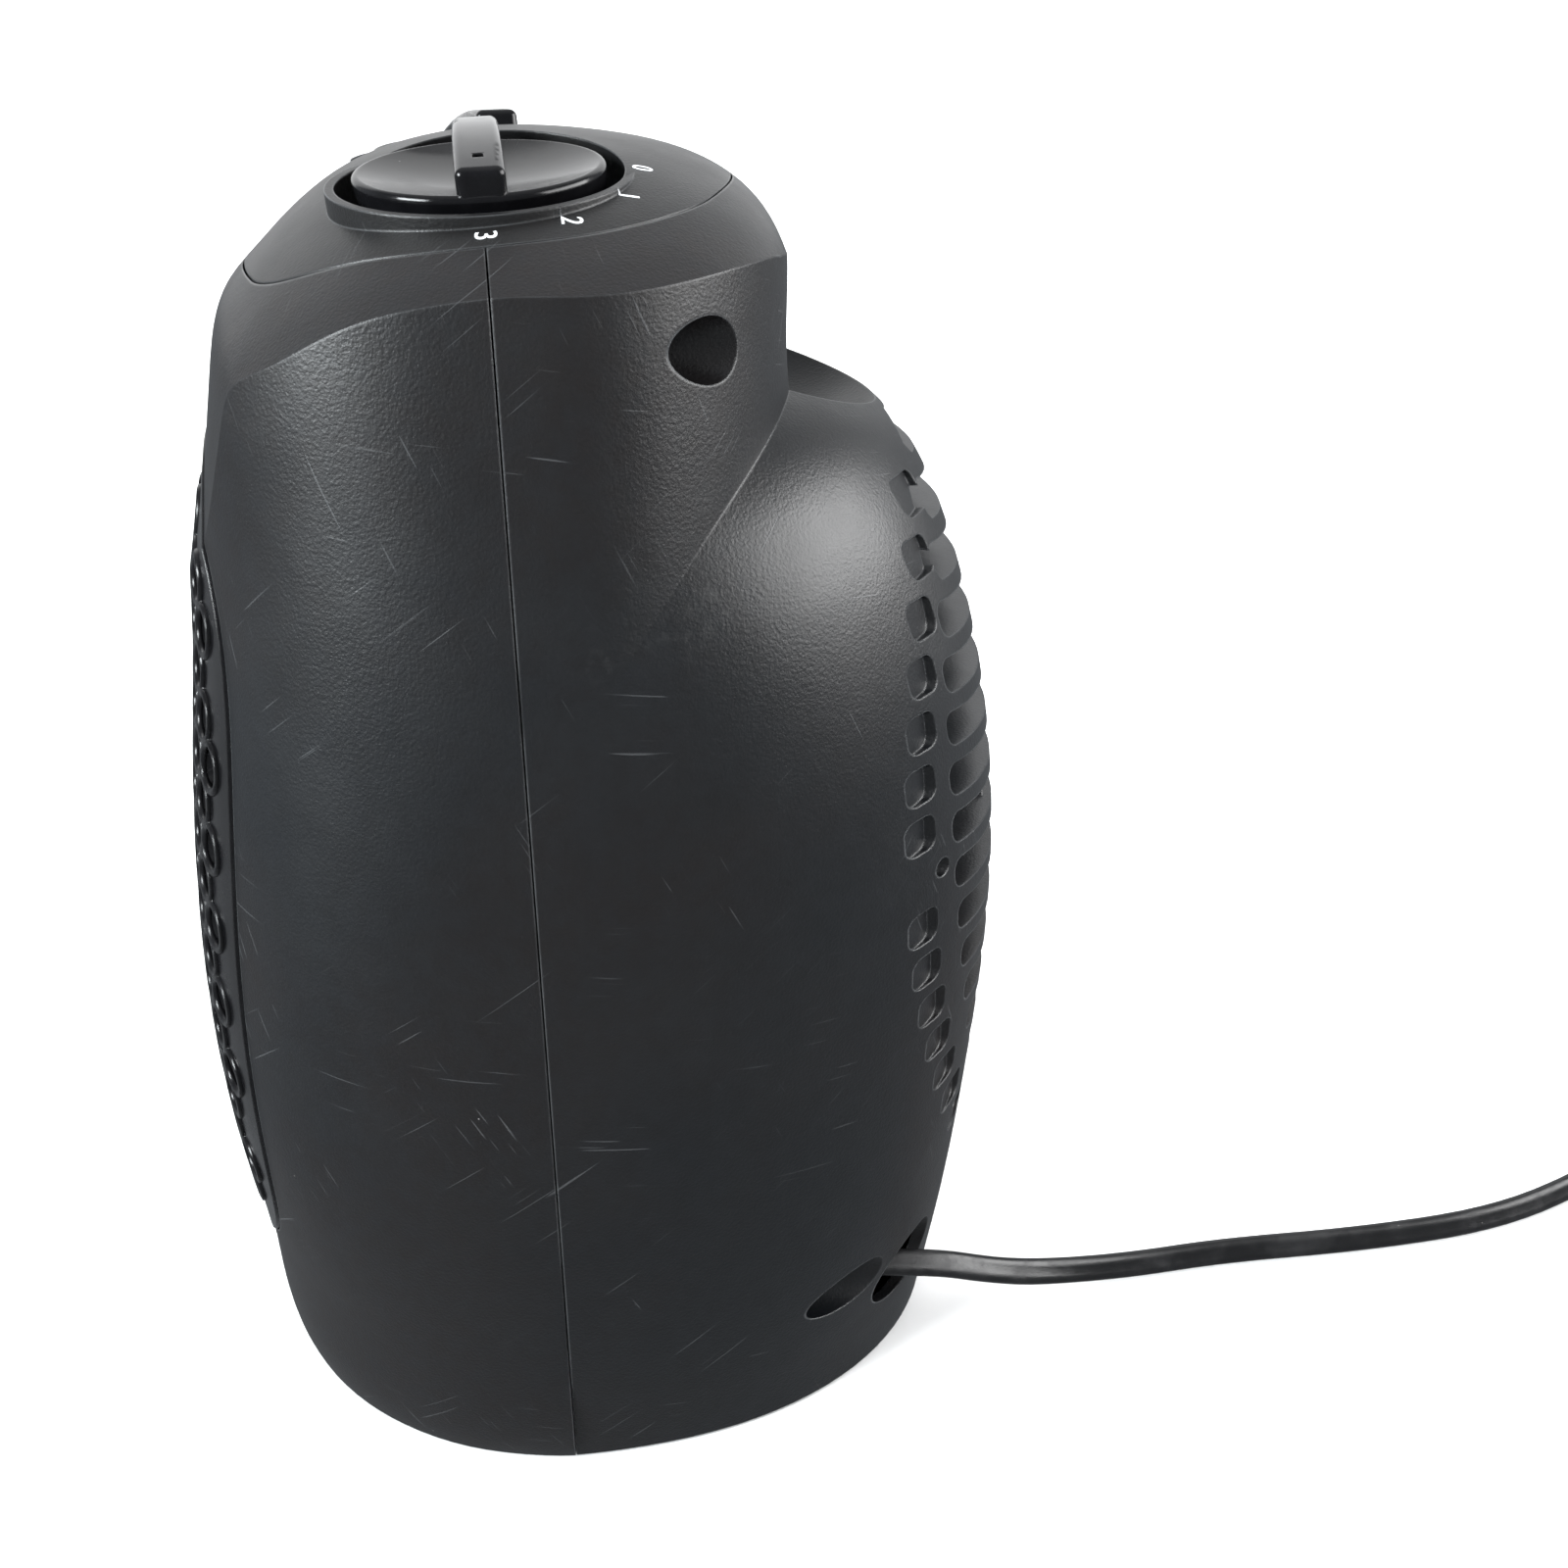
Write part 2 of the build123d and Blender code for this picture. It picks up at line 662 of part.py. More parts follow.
with BuildPart() as element_terminals:
    for bank in range(bank_count):
        z = core_base + bank * (bank_height + stone_height) + bank_height / 2
        with BuildSketch(facing_rear(core_y[1] + 0.2)):
            with Locations((-window_half_width + 4, z)):
                Rectangle(6.3, 0.8)
        extrude(amount=16)
element_terminals.part.label = "element_terminals"

with BuildPart() as thermal_cutoff:
    with BuildSketch(level(fan_z + duct_half_height)):
        with Locations((0, -21)):
            SlotOverall(30, 10)
    extrude(amount=1)
    with BuildSketch(level(fan_z + duct_half_height + 1)):
        with Locations((0, -21)):
            Circle(8)
    extrude(amount=7)
thermal_cutoff.part.label = "thermal_cutoff"

with BuildPart() as thermal_fuse:
    with BuildSketch(level(fan_z + duct_half_height)):
        with Locations((30, -24)):
            RectangleRounded(5, 14, 1)
    extrude(amount=4.5)
thermal_fuse.part.label = "thermal_fuse"

# ---------------------------------------------------------------- fan duct
duct_wall = 2.0
duct_y = (-8.0, 18.5)
fan_bore = 54.6
ring_y = 44.0

with BuildPart() as fan_shroud:
    with BuildSketch(facing_rear(duct_y[0])):
        with Locations((0, fan_z)):
            RectangleRounded(2 * duct_half_width, 2 * duct_half_height, 6)
    extrude(amount=duct_y[1] - duct_y[0])
    with BuildSketch(facing_rear(duct_y[0])):
        with Locations((0, fan_z)):
            RectangleRounded(2 * (duct_half_width - duct_wall),
                             2 * (duct_half_height - duct_wall), 4)
    extrude(amount=duct_y[1] - duct_y[0] - 2.5, mode=Mode.SUBTRACT)
    with BuildSketch(facing_rear(duct_y[1] - 2.5)):
        with Locations((0, fan_z)):
            Circle(fan_bore + duct_wall)
    extrude(amount=ring_y - duct_y[1] + 2.5)
    with BuildSketch(facing_rear(duct_y[1] - 3)):
        with Locations((0, fan_z)):
            Circle(fan_bore)
    extrude(amount=40, mode=Mode.SUBTRACT)
fan_shroud.part.label = "fan_shroud"

# ---------------------------------------------------------------- fan and motor
motor_shaft_radius = 2.5
shaft_y = (23.0, 84.0)
hub_radius = 13.0
hub_y = (24.0, 42.0)
blade_count = 5
blade_tip = 50.0
stack_y = (52.0, 70.0)
rotor_radius = 14.2
air_gap = 0.4
bearing_radius = 5.0
front_bracket_y = (44.0, 46.0)
fan_axis = Axis((0, seam_y, fan_z), (0, 1, 0))


def fan_disc(radius, y_from, y_to):
    return bore(0, fan_z, radius, y_from, y_to)


with BuildPart() as motor_shaft:
    add(fan_disc(motor_shaft_radius, *shaft_y))
motor_shaft.part.label = "motor_shaft"


def fan_blade():
    """One twisted blade, from the hub up to the tip."""
    with BuildPart() as blade:
        for radius, chord, thickness, pitch in ((hub_radius - 1.5, 19, 2.0, 48),
                                                (32, 28, 1.6, 38), (blade_tip, 30, 1.2, 28)):
            middle = (0, seam_y + sum(hub_y) / 2, fan_z + radius)
            with BuildSketch(Plane(origin=middle)):
                with Locations(Rotation(0, 0, pitch)):
                    Rectangle(chord, thickness)
        loft()
    return blade.part


with BuildPart() as fan_impeller:
    add(fan_disc(hub_radius, *hub_y))
    for k in range(blade_count):
        add(fan_blade().rotate(fan_axis, 360 * k / blade_count))
    add(fan_disc(hub_radius - 2, hub_y[0] + 2, hub_y[1]), mode=Mode.SUBTRACT)
    add(fan_disc(5, *hub_y))
    add(fan_disc(motor_shaft_radius, 0, 60), mode=Mode.SUBTRACT)
fan_impeller.part.label = "fan_impeller"

with BuildPart() as motor_rotor:
    add(fan_disc(rotor_radius, stack_y[0] - 1, stack_y[1] + 1))
    add(fan_disc(motor_shaft_radius, 0, 90), mode=Mode.SUBTRACT)
motor_rotor.part.label = "motor_rotor"

with BuildPart() as motor_laminations:
    with BuildSketch(facing_rear(stack_y[0])):
        with Locations((0, fan_z - 12)):
            Rectangle(56, 64)
        with Locations((0, fan_z - 26)):
            Rectangle(32, 12, mode=Mode.SUBTRACT)
        with Locations((0, fan_z)):
            Circle(rotor_radius + air_gap, mode=Mode.SUBTRACT)
    extrude(amount=stack_y[1] - stack_y[0])
motor_laminations.part.label = "motor_laminations"

with BuildPart() as motor_coil:
    with BuildSketch(facing_rear(stack_y[0] - 8)):
        with Locations((0, fan_z - 38)):
            RectangleRounded(29, 28, 3)
    extrude(amount=stack_y[1] - stack_y[0] + 16)
    with BuildSketch(facing_rear(stack_y[0] - 0.1)):
        with Locations((0, fan_z - 38)):
            Rectangle(60, 12.2)
    extrude(amount=stack_y[1] - stack_y[0] + 0.2, mode=Mode.SUBTRACT)
motor_coil.part.label = "motor_coil"


def motor_bracket(plate_y, leg_y):
    """Strap across the motor that carries a bearing; its legs stand on the laminations."""
    with BuildPart() as bracket:
        with BuildSketch(facing_rear(plate_y[0])):
            with Locations((0, fan_z)):
                RectangleRounded(56, 18, 3)
        extrude(amount=plate_y[1] - plate_y[0])
        with BuildSketch(facing_rear(leg_y[0])):
            with Locations((-24, fan_z), (24, fan_z)):
                Rectangle(7, 14)
        extrude(amount=leg_y[1] - leg_y[0])
        add(fan_disc(bearing_radius + 0.02, 0, 100), mode=Mode.SUBTRACT)
    return bracket.part


with BuildPart() as motor_front_bracket:
    add(motor_bracket(front_bracket_y, (front_bracket_y[0], stack_y[0])))
motor_front_bracket.part.label = "motor_front_bracket"

with BuildPart() as motor_rear_bracket:
    add(motor_bracket(rear_bracket_y, (stack_y[1], rear_bracket_y[1])))
motor_rear_bracket.part.label = "motor_rear_bracket"

with BuildPart() as motor_bearings:
    add(fan_disc(bearing_radius, front_bracket_y[0] - 0.5, front_bracket_y[1] + 3))
    add(fan_disc(bearing_radius, rear_bracket_y[0] - 3, rear_bracket_y[1] + 0.5))
    add(fan_disc(motor_shaft_radius + 0.05, 0, 100), mode=Mode.SUBTRACT)
motor_bearings.part.label = "motor_bearings"

# ---------------------------------------------------------------- fasteners and feet
screw_head_radius = 3.4
foot_radius = 7.0
foot_places = ((42.0, -32.0), (46.0, 52.0))

with BuildPart() as housing_screws:
    for x, z in screw_places:
        for hand in (1, -1):
            add(bore(hand * x, z, screw_head_radius, access_floor_y, access_floor_y + 2.4))
            add(bore(hand * x, z, pilot_radius, -20, access_floor_y))
            add(bore(hand * x, z, 1.0, access_floor_y + 1.2, access_floor_y + 3),
                mode=Mode.SUBTRACT)
housing_screws.part.label = "housing_screws"

with BuildPart() as rubber_feet:
    with BuildSketch(level(0)):
        for x, y in foot_places:
            with Locations((x, y), (-x, y)):
                Circle(foot_radius)
    extrude(amount=foot_height)
rubber_feet.part.label = "rubber_feet"

# ---------------------------------------------------------------- wiring inside the housing
wire_radius = 1.1
wire_routes = (
    ((30, -8, 218.8), (30, -5, 208), (14, -18, 204), (4, -21, 194.4)),
    ((25, 4, 218.8), (26, 8, 205), (50, 30, 196), (72, 30, 160), (70, 34, 80), (62, 36, 48),
     (56, 40, 34)),
    ((20, 10, 218.5), (20, 24, 200), (24, 50, 180), (36, 62, 152), (36, 74, 112), (16.2, 74, 92)),
)


def tube(route, radius, corner_share=0.45):
    """Round tube along straight runs joined by the largest tangent arcs that fit them."""
    points = [Vector(x, seam_y + y, z) for x, y, z in route]
    runs = [b - a for a, b in zip(points, points[1:])]
    radii = []
    for run, following in zip(runs, runs[1:]):
        turn = run.get_angle(following) * pi / 180
        radii.append(corner_share * min(run.length, following.length) / tan(turn / 2))
    with BuildPart() as body:
        with BuildLine() as path:
            FilletPolyline(*points, radius=radii)
        with BuildSketch(Plane(origin=points[0], z_dir=runs[0])):
            Circle(radius)
        sweep(path=path.wires()[0])
    return body.part, radii, path.wires()[0].length


with BuildPart() as wiring:
    for route in wire_routes:
        add(tube(route, wire_radius)[0])
wiring.part.label = "wiring"

# ---------------------------------------------------------------- mains cord
# 1.8 m of cord: it leaves the base, reaches the surface, and its spare length is a tied coil
cord_radius = 3.0
cord_length = 1800.0
relief_length = 24.0
relief_radii = (6.4, 4.2)   # the strain relief tapers towards the cord
relief_flange = 7.2
relief_flange_thickness = 2.0
coil_centre = (52.0, 338.0)
coil_mean_radius = 32.4
coil_turns = 7              # a round bundle: two turns, three on top of them and two more
coil_columns = 3
coil_base = 1.0
tie_thickness = 1.0
tie_width = 8.0
coil_height = 2 * cord_radius * (1 + sqrt(3))
coil_outer = coil_mean_radius + coil_columns * cord_radius
coil_inner = coil_mean_radius - coil_columns * cord_radius
stub = 28.0                 # the cord meets the coil this far from its centre line
feed_x = coil_centre[0] - coil_mean_radius - cord_radius
feed_rise = cord_radius + 0.7
feed_z = coil_base + feed_rise
leave_z = coil_base + coil_height - feed_rise

cord_route = (
    (cord_hole_x, 68, cord_hole_z),
    (cord_hole_x, 82, cord_hole_z - 1.8),
    (48.5, 98, 16),
    (44, 112, 9.5),
    (40, 135, 4.6),
    (38.3, 160, 3.9),
    (40.5, 195, 4.0),
    (39.5, 232, 4.1),
    (30, 264, 4.2),
    (feed_x, coil_centre[1] - stub - 18, feed_z),
    (feed_x, coil_centre[1] - stub, feed_z),
)
tail_route = (
    (feed_x, coil_centre[1] + stub, leave_z),
    (feed_x, coil_centre[1] + stub + 19, leave_z),
    (feed_x + 11, coil_centre[1] + stub + 38, 8.0),
    (feed_x + 33, coil_centre[1] + stub + 50, 8.0),
)

relief_axis = Vector(*cord_route[1]) - Vector(*cord_route[0])
relief_plane = Plane(origin=(cord_route[0][0], seam_y + cord_route[0][1], cord_route[0][2]),
                     z_dir=tuple(relief_axis))
with BuildPart() as cord_strain_relief:
    with BuildSketch(relief_plane.offset(-relief_length)):
        Circle(relief_radii[0])
    with BuildSketch(relief_plane):
        Circle(relief_radii[1])
    loft()
    with BuildSketch(relief_plane.offset(-relief_length)):
        Circle(relief_flange)
    extrude(amount=-relief_flange_thickness)
cord_strain_relief.part.label = "cord_strain_relief"

with BuildPart() as power_cord:
    cord_tube, cord_radii, cord_run = tube(cord_route, cord_radius)
    add(cord_tube)
power_cord.part.label = "power_cord"

with BuildPart() as power_cord_tail:
    tail_tube, tail_radii, tail_run = tube(tail_route, cord_radius)
    add(tail_tube)
power_cord_tail.part.label = "power_cord_tail"

coil_plane = Plane(origin=(coil_centre[0], seam_y + coil_centre[1], coil_base))
with BuildPart() as power_cord_coil:
    with BuildSketch(coil_plane):
        Circle(coil_outer)
        Circle(coil_inner, mode=Mode.SUBTRACT)
    extrude(amount=coil_height)
    fillet(power_cord_coil.edges().filter_by(GeomType.CIRCLE), cord_radius * 0.9)
    with BuildSketch(facing_rear(coil_centre[1] - stub)):
        with Locations((-feed_x, feed_z)):
            Circle(cord_radius)
    extrude(amount=stub)
    with BuildSketch(facing_rear(coil_centre[1])):
        with Locations((-feed_x, leave_z)):
            Circle(cord_radius)
    extrude(amount=stub)
power_cord_coil.part.label = "power_cord_coil"

tie_plane = Plane(origin=(coil_centre[0], seam_y + coil_centre[1] + coil_mean_radius,
                          coil_base + coil_height / 2), x_dir=(0, 1, 0), z_dir=(1, 0, 0))
with BuildPart() as cord_tie:
    with BuildSketch(tie_plane.offset(-tie_width / 2)):
        RectangleRounded(2 * (coil_outer - coil_mean_radius + 1.4),
                         coil_height + 2 * tie_thickness, 4)
        RectangleRounded(2 * (coil_outer - coil_mean_radius + 0.4), coil_height + 0.02, 1.6,
                         mode=Mode.SUBTRACT)
    extrude(amount=tie_width)
cord_tie.part.label = "cord_tie"

# two-prong plug lying on the surface beside the coil
plug_length = 30.0
plug_width = 24.0
plug_height = 16.0
blade_length = 17.0
blade_pitch = 12.7
plug_end = tail_route[-1]
plug_axis = Vector(*tail_route[-1]) - Vector(*tail_route[-2])
plug_axis = Vector(plug_axis.X, plug_axis.Y, 0).normalized()
plug_plane = Plane(origin=(plug_end[0], seam_y + plug_end[1], plug_end[2]),
                   x_dir=tuple(plug_axis.cross(Vector(0, 0, 1))), z_dir=tuple(plug_axis))

with BuildPart() as plug_body:
    with BuildSketch(plug_plane):
        RectangleRounded(9, 9, 3)
    with BuildSketch(plug_plane.offset(14)):
        RectangleRounded(plug_width * 0.7, plug_height * 0.8, 4)
    with BuildSketch(plug_plane.offset(20)):
        RectangleRounded(plug_width, plug_height, 5)
    with BuildSketch(plug_plane.offset(plug_length)):
        RectangleRounded(plug_width, plug_height, 5)
    loft(ruled=True)
plug_body.part.label = "plug_body"

with BuildPart() as plug_blades:
    with BuildSketch(plug_plane.offset(plug_length)):
        with GridLocations(blade_pitch, 1, 2, 1):
            Rectangle(1.5, 6.4)
    extrude(amount=blade_length)
plug_blades.part.label = "plug_blades"

# ---------------------------------------------------------------- written parts
pieces = (
    front_housing, rear_housing, control_panel, front_grille, control_knob, thermostat_knob,
    selector_shaft, thermostat_shaft, selector_switch, switch_terminals, thermostat_body,
    thermostat_blade, element_frame, heating_fins, ceramic_stones, element_terminals,
    thermal_cutoff, thermal_fuse, fan_shroud, motor_shaft, fan_impeller, motor_rotor,
    motor_laminations, motor_coil, motor_front_bracket, motor_rear_bracket, motor_bearings,
    housing_screws, rubber_feet, wiring, cord_strain_relief, power_cord, power_cord_tail,
    power_cord_coil, cord_tie, plug_body, plug_blades,
)
os.makedirs("parts", exist_ok=True)
for piece in pieces:
    export_step(piece.part, f"parts/{piece.part.label}.step")

turns_length = cord_length - cord_run - tail_run - 2 * stub
print("cord radii", [round(radius, 1) for radius in cord_radii + tail_radii])
print("cord tube", round(cord_run, 1), "tail", round(tail_run, 1),
      "turns in the coil", coil_turns, round(turns_length / (2 * pi * coil_mean_radius), 2))
print("tube volume / section x length",
      round(power_cord.part.volume / (pi * cord_radius**2 * cord_run), 4),
      round(power_cord_tail.part.volume / (pi * cord_radius**2 * tail_run), 4))
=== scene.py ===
import json
from math import cos, pi, radians, sin, sqrt

import bmesh
import bpy
from mathutils import Matrix, Vector
from mathutils.bvhtree import BVHTree


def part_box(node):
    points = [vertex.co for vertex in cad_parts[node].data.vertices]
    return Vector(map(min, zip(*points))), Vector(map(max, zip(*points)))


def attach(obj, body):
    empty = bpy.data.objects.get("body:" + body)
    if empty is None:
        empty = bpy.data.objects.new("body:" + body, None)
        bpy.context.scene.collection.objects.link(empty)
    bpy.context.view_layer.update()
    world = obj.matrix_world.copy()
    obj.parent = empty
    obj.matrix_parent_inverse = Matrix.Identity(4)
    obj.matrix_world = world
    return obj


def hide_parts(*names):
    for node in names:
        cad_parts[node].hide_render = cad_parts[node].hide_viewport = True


# Studio scene of a compact ceramic fan heater, in metres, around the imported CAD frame.
# The grille looks along -Y, the louvres along +Y, and the selector knob is on the +X side.

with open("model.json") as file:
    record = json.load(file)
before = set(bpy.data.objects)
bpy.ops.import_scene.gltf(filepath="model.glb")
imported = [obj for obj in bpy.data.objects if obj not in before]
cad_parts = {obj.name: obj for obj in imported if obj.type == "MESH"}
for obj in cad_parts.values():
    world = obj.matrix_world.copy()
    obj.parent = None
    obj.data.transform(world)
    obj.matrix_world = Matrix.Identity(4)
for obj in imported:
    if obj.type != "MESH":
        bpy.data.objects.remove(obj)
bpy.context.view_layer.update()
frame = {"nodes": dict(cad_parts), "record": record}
scene = bpy.context.scene
joints = {joint["name"]: joint for joint in frame["record"]["behaviour"]["joints"]}
seam_y = joints["selector_turn"]["pos_m"][1]      # parting plane of the two housing halves
fan_z = joints["fan_spin"]["pos_m"][2]
ROOT = "heater"


def seam_point(x, y, z):
    """A point given by its distance behind the seam plane."""
    return Vector((x, seam_y + y, z))


def link(obj):
    scene.collection.objects.link(obj)
    return obj


# ---------------------------------------------------------------- camera
CAMERA_PLACE = (0.32849, 0, 0.27325)
CAMERA_LENS = 37.125
CAMERA_PITCH, CAMERA_YAW, CAMERA_ROLL = 24.55, 9.953, -0.1353      # degrees


def make_camera():
    """Looks down at the selector knob's side, a little towards the rear."""
    pitch, yaw, roll = radians(CAMERA_PITCH), radians(CAMERA_YAW), radians(CAMERA_ROLL)
    forward = Vector((-cos(pitch) * cos(yaw), cos(pitch) * sin(yaw), -sin(pitch)))
    level_right = Vector((sin(yaw), cos(yaw), 0))
    level_up = level_right.cross(forward)
    right = cos(roll) * level_right + sin(roll) * level_up
    up = cos(roll) * level_up - sin(roll) * level_right
    data = bpy.data.cameras.new("camera")
    data.sensor_width = 36.0
    data.lens = CAMERA_LENS
    data.clip_start = 0.01
    camera = link(bpy.data.objects.new("camera", data))
    turn = Matrix((right, up, -forward)).transposed().to_4x4()
    camera.matrix_world = Matrix.Translation(seam_point(*CAMERA_PLACE)) @ turn
    scene.camera = camera


make_camera()

# ---------------------------------------------------------------- mains cord
CORD_WIDTH = 0.006
CORD_THICKNESS = 0.0039
COIL_CENTRE = (0.052, 0.338)
COIL_RADIUS = 0.0324
COIL_BASE = 0.001
COIL_STEPS = 16             # points in one turn
STUB = 0.028
EXIT_LEAN = 0.5             # the flat cord turns onto its edge as it leaves the heater
FLOOR_LEAN = 1.15
CORD_RADIUS = CORD_WIDTH / 2
FEED_X = COIL_CENTRE[0] - COIL_RADIUS - CORD_RADIUS
FEED_Z = COIL_BASE + CORD_RADIUS + 0.0007
COIL_HEIGHT = CORD_WIDTH * (1 + sqrt(3))
LEAVE_Z = COIL_BASE + COIL_HEIGHT - CORD_RADIUS - 0.0007

CORD_ROUTE = (
    (0.052, 0.068, 0.026),
    (0.052, 0.082, 0.0242),
    (0.0485, 0.098, 0.0160),
    (0.044, 0.112, 0.0095),
    (0.040, 0.135, 0.0046),
    (0.0383, 0.160, 0.0039),
    (0.0405, 0.195, 0.0040),
    (0.0395, 0.232, 0.0041),
    (0.030, 0.264, 0.0042),
    (FEED_X, COIL_CENTRE[1] - STUB - 0.018, FEED_Z),
    (FEED_X, COIL_CENTRE[1] - STUB, FEED_Z),
)
TAIL_ROUTE = (
    (FEED_X, COIL_CENTRE[1] + STUB, LEAVE_Z),
    (FEED_X, COIL_CENTRE[1] + STUB + 0.019, LEAVE_Z),
    (FEED_X + 0.011, COIL_CENTRE[1] + STUB + 0.038, 0.008),
    (FEED_X + 0.033, COIL_CENTRE[1] + STUB + 0.050, 0.008),
)
# places of the turns in the round bundle: steps across the bundle, rows above its lowest row;
# the last place is where the cord leaves it
BUNDLE = ((0.5, 0), (-0.5, 0), (-1.0, 1), (-0.5, 2), (0.0, 1), (1.0, 1), (0.5, 2), (1.5, 2))


def coil_points():
    """Seven turns beside and on each other; each changes place near the end of its round."""
    row_height = CORD_WIDTH * sqrt(3) / 2
    overshoot = 1 / cos(pi / COIL_STEPS)        # the spline runs inside its control points
    points = []
    for turn, (place, following) in enumerate(zip(BUNDLE, BUNDLE[1:])):
        for step in range(COIL_STEPS):
            share = min(1.0, max(0.0, (step + 0.5 + turn / 2) / 4 - 2.75))
            share = share * share * (3 - 2 * share)
            across = place[0] + (following[0] - place[0]) * share
            row = place[1] + (following[1] - place[1]) * share
            radius = (COIL_RADIUS + across * CORD_WIDTH) * overshoot
            angle = pi - 2 * pi * (step + 0.5) / COIL_STEPS
            points.append((COIL_CENTRE[0] + radius * cos(angle),
                           COIL_CENTRE[1] + radius * sin(angle),
                           COIL_BASE + CORD_RADIUS + row * row_height))
    return points


def spline_line(points, resolution):
    """Points along the smooth NURBS line with these control points."""
    data = bpy.data.curves.new("line", "CURVE")
    data.dimensions = "3D"
    spline = data.splines.new("NURBS")
    spline.points.add(len(points) - 1)
    for target, point in zip(spline.points, points):
        target.co = (*point, 1)
    spline.order_u = 3
    spline.use_endpoint_u = True
    spline.resolution_u = resolution
    line = bpy.data.objects.new("line", data)
    mesh = bpy.data.meshes.new_from_object(line)
    found = [vertex.co.copy() for vertex in mesh.vertices]
    bpy.data.objects.remove(line)
    bpy.data.curves.remove(data)
    bpy.data.meshes.remove(mesh)
    return found


def twin_profile(width, thickness, count=20):
    """Outline of a flat two-core cord: two lobes with a shallow valley between them."""
    points = []
    for k in range(count):
        angle = 2 * pi * k / count
        x = width / 2 * cos(angle)
        waist = 1 - 0.26 * (1 - abs(cos(angle))) ** 2
        y = thickness / 2 * waist * (abs(sin(angle)) ** 0.8) * (1 if sin(angle) >= 0 else -1)
        points.append((x, y))
    return points


def mesh_object(name, vertices, faces, smooth_angle=50):
    mesh = bpy.data.meshes.new(name)
    mesh.from_pydata([tuple(vertex) for vertex in vertices], [], faces)
    mesh.validate()
    mesh.shade_smooth()
    mesh.set_sharp_from_angle(angle=radians(smooth_angle))
    return link(bpy.data.objects.new(name, mesh))


def ring_faces(rings, size, closed_ends=True):
    """Quads between successive rings of `size` vertices, with a cap at each end."""
    faces = []
    for ring in range(rings - 1):
        for k in range(size):
            here, there = ring * size + k, ring * size + (k + 1) % size
            faces.append((here, there, there + size, here + size))
    if closed_ends:
        faces.append(tuple(reversed(range(size))))
        faces.append(tuple(range((rings - 1) * size, rings * size)))
    return faces


def swept(name, path, profile, tilts):
    """Tube with a level profile along a path, turned about the path by each point's tilt."""
    vertices = []
    for k, point in enumerate(path):
        ahead = (path[min(k + 1, len(path) - 1)] - path[max(k - 1, 0)]).normalized()
        across = ahead.cross(Vector((0, 0, 1))).normalized()
        above = across.cross(ahead)
        turned_x = cos(tilts[k]) * across + sin(tilts[k]) * above
        turned_y = cos(tilts[k]) * above - sin(tilts[k]) * across
        vertices += [point + x * turned_x + y * turned_y for x, y in profile]
    return mesh_object(name, vertices, ring_faces(len(path), len(profile)))


def make_cord():
    control = [seam_point(*point) for point in (*CORD_ROUTE, *coil_points(), *TAIL_ROUTE)]
    path = spline_line(control, 6)
    tilts = []
    for point in path:
        distance = (Vector((point.x, point.y)) - Vector((COIL_CENTRE[0], seam_y + COIL_CENTRE[1]))).length
        on_edge = min(1.0, max(0.0, (0.075 - distance) / 0.03))
        leaving = min(1.0, max(0.0, (point.y - seam_y - 0.075) / 0.05))
        lean = EXIT_LEAN + (FLOOR_LEAN - EXIT_LEAN) * leaving
        tilts.append(-lean - (pi / 2 - lean) * on_edge * on_edge * (3 - 2 * on_edge))
    profile = twin_profile(CORD_WIDTH, CORD_THICKNESS)
    return swept("mains_cord", path, profile, tilts), path


cord, cord_path = make_cord()
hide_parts("power_cord", "power_cord_tail", "power_cord_coil")
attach(cord, ROOT)


def oval_ring(origin, across, above, half_width, half_height, power=4.0, count=40):
    """Rounded-rectangle ring of points in the plane of `across` and `above`."""
    points = []
    for k in range(count):
        angle = 2 * pi * k / count
        c, s = cos(angle), sin(angle)
        x = half_width * abs(c) ** (2 / power) * (1 if c >= 0 else -1)
        y = half_height * abs(s) ** (2 / power) * (1 if s >= 0 else -1)
        points.append(origin + x * across + y * above)
    return points


def make_plug():
    """Moulded two-pin plug: ribbed bend relief, waisted grip and flat face."""
    end = seam_point(*TAIL_ROUTE[-1])
    axis = end - seam_point(*TAIL_ROUTE[-2])
    axis.z = 0
    axis.normalize()
    across = axis.cross(Vector((0, 0, 1)))
    above = Vector((0, 0, 1))
    sections = [(0.0, 0.0032, 0.0026)]
    for rib in range(4):
        start = 0.0004 + rib * 0.0026
        swell = 0.0004 * rib
        sections += [(start, 0.0041 + swell, 0.0036 + swell),
                     (start + 0.0015, 0.0041 + swell, 0.0036 + swell),
                     (start + 0.0017, 0.0034 + swell, 0.0029 + swell),
                     (start + 0.0024, 0.0034 + swell, 0.0029 + swell)]
    sections += [(0.0112, 0.0056, 0.0048), (0.0145, 0.0082, 0.0062), (0.0180, 0.0100, 0.0072),
                 (0.0210, 0.0106, 0.0076), (0.0240, 0.0104, 0.0075), (0.0262, 0.0110, 0.0078),
                 (0.0275, 0.0119, 0.0079), (0.0292, 0.0119, 0.0079), (0.0299, 0.0115, 0.0075),
                 (0.0300, 0.0108, 0.0068)]
    vertices = []
    for along, half_width, half_height in sections:
        vertices += oval_ring(end + along * axis, across, above, half_width, half_height)
    return mesh_object("plug_moulding", vertices, ring_faces(len(sections), 40), 38)


plug = make_plug()
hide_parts("plug_body")
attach(plug, ROOT)


